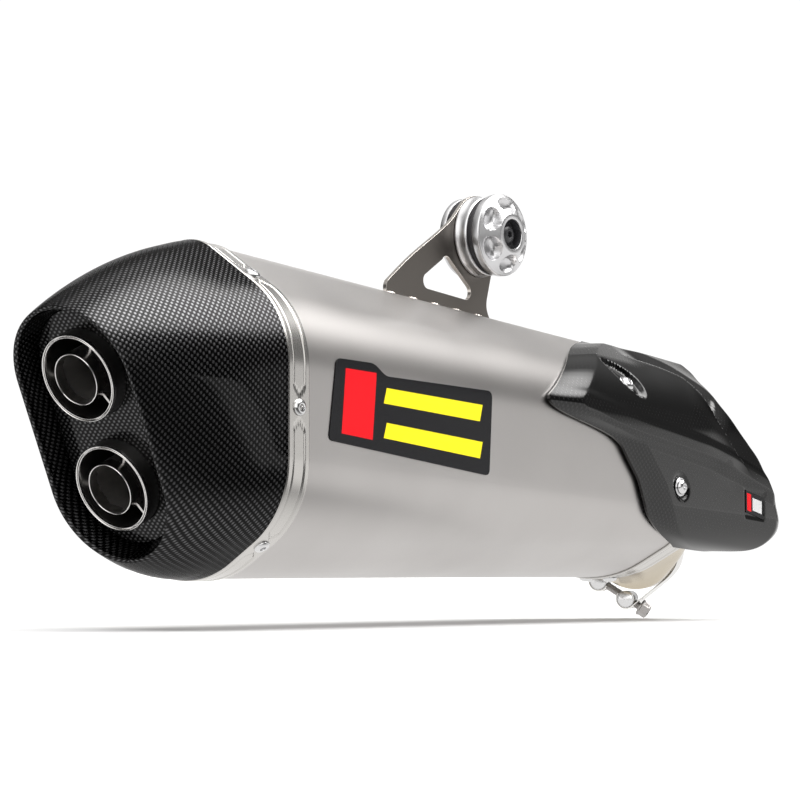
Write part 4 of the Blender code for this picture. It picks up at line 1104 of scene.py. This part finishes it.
def beside(line, x, girth):
    """(distance along, signed distance from) a polyline, positive towards the shield's front and top."""
    best, travelled = None, 0.0
    for (x0, g0), (x1, g1) in zip(line, line[1:]):
        run = Vector((x1 - x0, g1 - g0))
        length = run.length
        t = min(max(((x - x0) * run.x + (girth - g0) * run.y) / length ** 2, 0.0), 1.0)
        away = Vector((x - x0 - run.x * t, girth - g0 - run.y * t))
        off = math.copysign(away.length, away.x * run.y - away.y * run.x)
        if best is None or abs(off) < abs(best[1]):
            best = (travelled + t * length, off)
        travelled += length
    return best


def shield_rise(x, girth):
    """How far the shield's outer face stands proud of the can."""
    rear, front = soft_curve(rear_knots, girth), soft_curve(front_knots, girth)
    facet = min(max((x - rear) / 30.0, 0.0), 1.0)
    rim = ease((front - x + 5) / 13.0) * ease((girth - shield_top + 3) / 14.0)
    rim *= ease((shield_bottom + 3 - girth) / 15.0)
    proud = mix(3.5, shield_face, mix(facet, ease(facet), 0.2) * rim)
    inside = facet * rim
    under = girth - soft_curve(shoulder, x, 10.0)
    proud += inside * (1.5 * ease((under + 9) / 7.0) - 3.3 * ease((under - 5) / 8.0))
    along, off = beside(tongue_edge, x, girth)
    depth = 5.2 * ease(along / 40.0) * ease((108 - along) / 30.0)
    if off > 0:
        proud -= inside * depth * ease(off / 2.6) * (1 - ease((off - 7) / 26.0))
    else:
        proud += inside * 1.6 * ease(along / 40.0) * math.exp(-((off + 3) / 15.0) ** 2)
    for (cx, cg), (lean_x, lean_g), long_half, short_half, sink in (
            ((362.0, 82.0), (0.79, 0.61), 20.0, 9.5, 3.4), (lower_screw, (1.0, 0.0), 10.5, 10.0, 1.7)):
        p = (x - cx) * lean_x + (girth - cg) * lean_g
        q = (girth - cg) * lean_x - (x - cx) * lean_g
        proud -= sink * ease((1.0 - math.hypot(p / long_half, q / short_half)) / 0.24)
    badge = max(abs(x - 514.5) - 14, abs(girth - 152.5) - 11)
    proud -= inside * 0.9 * ease(-badge / 2.0)
    return proud


station_pitch = 10.0
stations = {}


def skin_at(x, girth):
    """The can's skin and section normal at a place, blended between evenly spaced stations."""
    low = math.floor(x / station_pitch)
    found = []
    for number in (low, low + 1):
        if (number, girth) not in stations:
            stations[number, girth] = plain_place(number * station_pitch, girth)
        found.append(stations[number, girth])
    t = x / station_pitch - low
    return found[0][0].lerp(found[1][0], t), found[0][1].lerp(found[1][1], t).normalized()


def shield_place(x, girth, inset=0.0):
    point, normal = skin_at(x, girth)
    pull = ease((x - 440) / 70.0) * math.exp(-((girth - 76) / 34.0) ** 2)
    return point + normal * (shield_rise(x, girth) - inset) + Vector((0, 9.0, -2.0)) * pull


shield_rows, shield_columns = 150, 170
shield = bmesh.new()
shield_map = shield.loops.layers.uv.new("surface")
grid = []
for i in range(shield_rows + 1):
    girth = mix(shield_top, shield_bottom, i / shield_rows)
    rear, front = soft_curve(rear_knots, girth), soft_curve(front_knots, girth)
    line = [(mix(rear, front, k / shield_columns), girth) for k in range(shield_columns + 1)]
    outer = [(shield.verts.new(shield_place(x, g)), (g * MM, x * MM)) for x, g in line]
    inner = [(shield.verts.new(shield_place(x, g, shield_sheet)), (g * MM, x * MM)) for x, g in line[::-1]]
    grid.append(outer + inner)


def map_face(corners):
    face = shield.faces.new([vert for vert, _ in corners])
    for loop, (_, spot) in zip(face.loops, corners):
        loop[shield_map].uv = spot


ring_length = 2 * (shield_columns + 1)
for near, far in zip(grid, grid[1:]):
    for k in range(ring_length):
        j = (k + 1) % ring_length
        map_face((near[k], near[j], far[j], far[k]))
for ring in (grid[0], grid[-1]):
    for k in range(shield_columns):
        map_face((ring[k], ring[k + 1], ring[ring_length - 2 - k], ring[ring_length - 1 - k]))
# Painted sheen mask: the rear facet takes the brightest copy and the panel below the shoulder the middle one.
for face in shield.faces:
    girth, x = (face.loops[0][shield_map].uv + face.loops[2][shield_map].uv) / (2 * MM)
    if x - soft_curve(rear_knots, girth) < 31 and girth < soft_curve(shoulder, x, 10.0) + 8:
        face.material_index = 1
    elif girth > soft_curve(shoulder, x, 10.0) + 4:
        face.material_index = 2
shield_piece = piece_from("heat_shield_moulding", shield, shield_carbon)
shield_piece.data.materials.append(facet_carbon_painted_sheen)
shield_piece.data.materials.append(lower_carbon_painted_sheen)
for where in (upper_screw, lower_screw):
    foot, normal = skin_place(*where)
    drill_through(shield_piece, turned([(0.5, 3.4), (16, 3.4)], foot, normal, 40, False))
soft_edge = shield_piece.modifiers.new("rounded rim", "BEVEL")
soft_edge.width = 0.6 * MM
soft_edge.segments = 2
soft_edge.limit_method = "ANGLE"
soft_edge.angle_limit = math.radians(55)
stand_in(shield_piece, "silencer", "carbon", "heat_shield")

for name, where in (("upper", upper_screw), ("lower", lower_screw)):
    foot, normal = skin_place(*where)
    floor = shield_rise(*where)
    boss_top = floor - shield_sheet - 0.2
    boss = [(0.4, 7.4), (0.9, 6.8), (1.6, 6.5), (boss_top, 6.5), (boss_top, 3.3), (0.4, 3.3)]
    stand_in(piece_from(f"shield_boss_{name}_turned", turned(boss, foot, normal), satin_titanium), "silencer",
             "titanium", f"shield_boss_{name}")
    rest = floor + 0.15
    washer = [(rest + rise, radius) for rise, radius in ((0, 6.4), (0.3, 6.6), (0.8, 6.6), (1.1, 6.3),
                                                         (1.1, 3.3), (0, 3.3))]
    ring = turned(washer, foot, normal)
    stand_in(piece_from(f"shield_washer_{name}_plain", ring, bright_steel), "silencer", "rivet_steel",
             f"shield_washer_{name}")
    seat = rest + 1.2
    head = [(1.2, 3.0), (seat, 3.0), (seat, 5.0), (seat + 0.3, 5.3), (seat + 0.9, 5.25), (seat + 1.6, 4.9),
            (seat + 2.3, 4.1), (seat + 2.8, 3.2), (seat + 3.0, 2.6)]
    button = button_head(head, 1.9, 1.7, foot, normal)
    stand_in(piece_from(f"shield_button_screw_{name}", button, bright_steel), "silencer", "rivet_steel",
             f"shield_screw_{name}")

# ---------------------------------------------------------------------------------------------
# Label and badge: thin black plates glued to the can's flank and to the shield, with plain
# coloured blocks and bars printed on them in place of any name.
# ---------------------------------------------------------------------------------------------
label_top = ((38, 134.7), (83, 133.0), (93, 125.5), (204, 121.3))
label_bottom = ((38, 84.0), (204, 65.8))
label_black = black_moulding("label black", (0.010, 0.010, 0.011), 0.18, 500.0, 0.12)


def printed(name, colour):
    """Screen ink, slightly uneven."""
    material, tree, shader = shader_material(name, 0.0, Specular_IOR_Level=0.12)
    noise = added(tree, "TexNoise", Scale=240.0).outputs["Fac"]
    fill(tree, shader.inputs["Base Color"], colour_ramp(tree, noise, [c * 0.88 for c in colour], colour))
    fill(tree, shader.inputs["Roughness"],
         math_node(tree, "ADD", math_node(tree, "MULTIPLY", noise, 0.1), 0.3))
    return material


print_red = printed("red print", (0.72, 0.006, 0.012))
print_yellow = printed("yellow print", (0.95, 0.78, 0.015))
print_silver = printed("silver print", (0.62, 0.62, 0.62))


def flank_depth(x, z, proud):
    """The Y of the can's near flank at a height, standing proud of it."""
    best = None
    outline = [p + n * proud for p, n in can_outline(x)]
    for p0, p1 in zip(outline[1:], outline[2:]):
        if p0.x > 0 or p1.x > 0 or p0.y == p1.y or not min(p0.y, p1.y) <= z <= max(p0.y, p1.y):
            continue
        y = mix(p0.x, p1.x, (z - p0.y) / (p1.y - p0.y))
        best = y if best is None else min(best, y)
    return best


def closed_plate(name, outer, inner, material):
    """Joins a plate's outer rows to its inner rows, which run the other way, and closes both ends."""
    skin = skin_rows([near + far for near, far in zip(outer, inner)])
    width = len(outer[0])
    skin.verts.ensure_lookup_table()
    for first in (0, (len(outer) - 1) * 2 * width):
        for k in range(width - 1):
            skin.faces.new([skin.verts[first + n] for n in (k, k + 1, 2 * width - 2 - k, 2 * width - 1 - k)])
    return piece_from(name, skin, material)


def flank_plate(name, rows, proud, thickness, material):
    """A thin closed plate over a grid of (x, z) places on the near flank."""
    outer = [[Vector((x, flank_depth(x, z, proud + thickness), z)) for x, z in row] for row in rows]
    inner = [[Vector((x, flank_depth(x, z, proud), z)) for x, z in row[::-1]] for row in rows]
    return closed_plate(name, outer, inner, material)


def bar_rows(corners, steps=10):
    """Rows of (x, z) places between four corners: bottom left, bottom right, top right, top left."""
    (x0, z0), (x1, z1), (x2, z2), (x3, z3) = corners
    return [[(mix(mix(x0, x1, t), mix(x3, x2, t), up), mix(mix(z0, z1, t), mix(z3, z2, t), up))
             for t in (k / steps for k in range(steps + 1))] for up in (k / steps for k in range(steps + 1))]


def corner_inset(distance, radius):
    return radius - math.sqrt(radius ** 2 - (radius - distance) ** 2) if distance < radius else 0.0


ups = [0, 0.01, 0.025, 0.045, 0.07, *(k / 20 for k in range(2, 19)), 0.93, 0.955, 0.975, 0.99, 1]
rows = []
for up in ups:
    inset = corner_inset(min(up, 1 - up) * 55, 4.0)
    left, right = mix(38.1, 45.5, up) + inset, mix(200.4, 203.8, up) - inset
    row = []
    for k in range(61):
        x = mix(left, right, k / 60)
        row.append((x, mix(read_curve(label_bottom, x), soft_curve(label_top, x), up)))
    rows.append(row)
label_glue, label_sheet, ink = 0.3, 0.4, 0.05
label_print = label_glue + label_sheet + 0.02
stand_in(flank_plate("side_label_plate", rows, label_glue, label_sheet, label_black), "silencer", "label",
         "side_label")
red_rows = bar_rows(((50, 88.5), (80, 85.5), (84, 127), (54, 128.5)))
stand_in(flank_plate("side_label_red_block", red_rows, label_print, ink, print_red), "silencer", "label")
for number, (low, high) in enumerate(((0.18, 0.38), (0.62, 0.82))):
    ends = [(x, mix(mix(84, 66, (x - 38) / 166), mix(130, 121, (x - 38) / 166), up))
            for x, up in ((91, low), (190, low), (193, high), (94, high))]
    bar_name = f"side_label_yellow_bar_{number + 1}"
    stand_in(flank_plate(bar_name, bar_rows(ends, 16), label_print, ink, print_yellow), "silencer", "label")


def shield_plate(name, corners, lift, thickness, material, steps=8):
    """A thin closed plate over (x, girth) corners on the shield."""
    rows = bar_rows(corners, steps)
    inner = [[shield_place(x, g, -lift) for x, g in row[::-1]] for row in rows]
    outer = [[shield_place(x, g, -lift - thickness) for x, g in row] for row in rows]
    return closed_plate(name, outer, inner, material)


badge_glue, badge_sheet = 0.05, 0.5
badge_print = badge_glue + badge_sheet + 0.02
stand_in(shield_plate("shield_badge_plate", ((503, 159), (526, 162), (526, 146), (503, 143)), badge_glue,
                      badge_sheet, label_black), "silencer", "label", "shield_badge")
for name, corners, colour in (
        ("red_block", ((504.5, 157.5), (510, 158.2), (510, 145.6), (504.5, 144.9)), print_red),
        ("silver_bar", ((512, 157), (524.5, 158.6), (524.5, 149.4), (512, 147.8)), print_silver)):
    stand_in(shield_plate(f"shield_badge_{name}", corners, badge_print, ink, colour), "silencer", "label")

# ---------------------------------------------------------------------------------------------
# Studio: a pale floor under the can, a white surround with bright patches that only reflections see,
# a broad soft light overhead, a small one behind, and a long lens low on the outlet side. Reflections
# see the floor as a painted glow, with a painted dark patch on the side towards the lens.
# ---------------------------------------------------------------------------------------------
floor_mesh = bpy.data.meshes.new("studio_floor")
floor_skin = bmesh.new()
floor_level, floor_half = cad_box[0].z - 0.0004, 40
corners = [floor_skin.verts.new((x * floor_half, y * floor_half, floor_level))
           for x, y in ((-1, -1), (1, -1), (1, 1), (-1, 1))]
floor_skin.faces.new(corners)
floor_skin.to_mesh(floor_mesh)
floor_skin.free()
paint, paint_tree, paint_shader = shader_material("floor paint", 0.0, Roughness=0.6, Specular_IOR_Level=0.2)
mottle = added(paint_tree, "TexNoise", Scale=3.0).outputs["Fac"]
fill(paint_tree, paint_shader.inputs["Base Color"],
     colour_ramp(paint_tree, mottle, (0.86, 0.86, 0.86), (0.89, 0.89, 0.89)))
# Painted reflection: to reflections the floor is a glow, not lit paint, dimmed to a painted dark patch
# towards the lens.
paint_place = added(paint_tree, "SeparateXYZ", Vector=added(paint_tree, "TexCoord").outputs["Object"])
nearer = math_node(paint_tree, "MAXIMUM", math_node(paint_tree, "ADD", paint_place.outputs["X"], 0.24),
                   math_node(paint_tree, "ADD", paint_place.outputs["Y"], 0.30))
reflected_glow_mask = added(paint_tree, "MapRange", From_Min=0.0, From_Max=0.25, To_Min=0.12, Value=nearer)
reflected_glow_mask.interpolation_type = "SMOOTHSTEP"
warm_white = (1.0, 0.99, 0.98, 1)
painted_floor_glow = added(paint_tree, "Emission", Color=warm_white, Strength=reflected_glow_mask.outputs["Result"])


def shader_mix(tree, factor, first, second, end):
    """Sends one of two shaders to the end of the tree."""
    blend = added(tree, "MixShader", Fac=factor)
    for socket, shader in zip(list(blend.inputs)[1:], (first, second)):
        tree.links.new(shader.outputs[0], socket)
    tree.links.new(blend.outputs[0], end.inputs["Surface"])


shader_mix(paint_tree, added(paint_tree, "LightPath").outputs["Is Glossy Ray"], paint_shader, painted_floor_glow,
           paint_tree.nodes["Material Output"])
floor_mesh.materials.append(paint)
studio_floor = bpy.data.objects.new("studio_floor", floor_mesh)
bpy.context.scene.collection.objects.link(studio_floor)

surround = bpy.data.worlds.new("surround")
bpy.context.scene.world = surround
surround.use_nodes = True
sky = surround.node_tree
sky.nodes.clear()
ray = added(sky, "LightPath")
towards = added(sky, "TexCoord").outputs["Generated"]
height = added(sky, "SeparateXYZ", Vector=towards).outputs["Z"]


def sky_ramp(value, low, high, start, end):
    ramp = added(sky, "MapRange", From_Min=low, From_Max=high, To_Min=start, To_Max=end, Value=value)
    ramp.interpolation_type = "SMOOTHSTEP"
    return ramp.outputs["Result"]


def glow_towards(direction, low, high):
    """How far a ray points along a direction, as a soft-edged patch of light."""
    return sky_ramp(vector_node(sky, "DOT_PRODUCT", towards, direction), low, high, 0.0, 1.0)


side_wall = math_node(sky, "MULTIPLY", glow_towards((0.78, -0.62, 0.0), 0.78, 0.97),
                      sky_ramp(height, -0.05, 0.17, 1.35, 0.14))
back_wall = math_node(sky, "MULTIPLY", glow_towards((0.82, 0.57, 0.0), 0.75, 0.95),
                      sky_ramp(height, 0.3, 0.5, 0.6, 0.0))
ceiling = sky_ramp(height, 0.32, 0.68, 0.0, 0.40)
zenith = sky_ramp(height, 0.74, 0.92, 0.0, 0.9)
high_window = math_node(sky, "MULTIPLY", glow_towards((0.30, -0.38, 0.87), 0.80, 0.97), 6.5)
outlet_fill = math_node(sky, "MULTIPLY", glow_towards((-0.9, -0.4, 0.1), 0.4, 0.95), 1.5)
dim_room, even_light, white_backdrop = 0.05, 0.55, 1.05
glow = dim_room
for patch in (side_wall, back_wall, ceiling, zenith, high_window, outlet_fill):
    glow = math_node(sky, "ADD", patch, glow)
diffuse = ray.outputs["Is Diffuse Ray"]
reflected = math_node(sky, "MULTIPLY", glow, math_node(sky, "SUBTRACT", 1.0, diffuse))
glow = math_node(sky, "ADD", math_node(sky, "MULTIPLY", diffuse, even_light), reflected)
room = added(sky, "Background", Color=warm_white, Strength=glow)
backdrop = added(sky, "Background", Color=(1, 1, 1, 1), Strength=white_backdrop)
shader_mix(sky, ray.outputs["Is Camera Ray"], room, backdrop, added(sky, "OutputWorld"))


def light(name, kind, place, target, power, size=None):
    data = bpy.data.lights.new(name, kind)
    data.energy = power
    if size:
        data.shape = "RECTANGLE"
        data.size, data.size_y = size
    lamp = bpy.data.objects.new(name, data)
    lamp.location = place
    lamp.rotation_euler = (Vector(target) - Vector(place)).to_track_quat("-Z", "Y").to_euler()
    bpy.context.scene.collection.objects.link(lamp)
    return lamp


overhead = light("overhead sun", "SUN", (0, 0, 3), (0.1, 0.1, 0), 3.5)
overhead.data.angle = math.radians(80)
overhead.visible_glossy = False
light("rear softbox", "AREA", (1.2, 1.4, 1.0), (0, 0, -0.1), 1.2, (1.2, 0.6))

view_azimuth, view_elevation = math.radians(-51.5), math.radians(-3.2)
back = Vector((math.sin(view_azimuth) * math.cos(view_elevation),
               -math.cos(view_azimuth) * math.cos(view_elevation), math.sin(view_elevation)))
lens = bpy.data.cameras.new("long lens")
lens.lens, lens.sensor_width = 135, 36
lens.clip_start, lens.clip_end = 0.05, 200
camera = bpy.data.objects.new("camera", lens)
camera.location = (-1.64838, -1.24323, -0.22814)
camera.rotation_mode = "QUATERNION"
camera.rotation_quaternion = (-back).to_track_quat("-Z", "Y")
bpy.context.scene.collection.objects.link(camera)
bpy.context.scene.camera = camera
bpy.context.scene.view_settings.view_transform = "Standard"
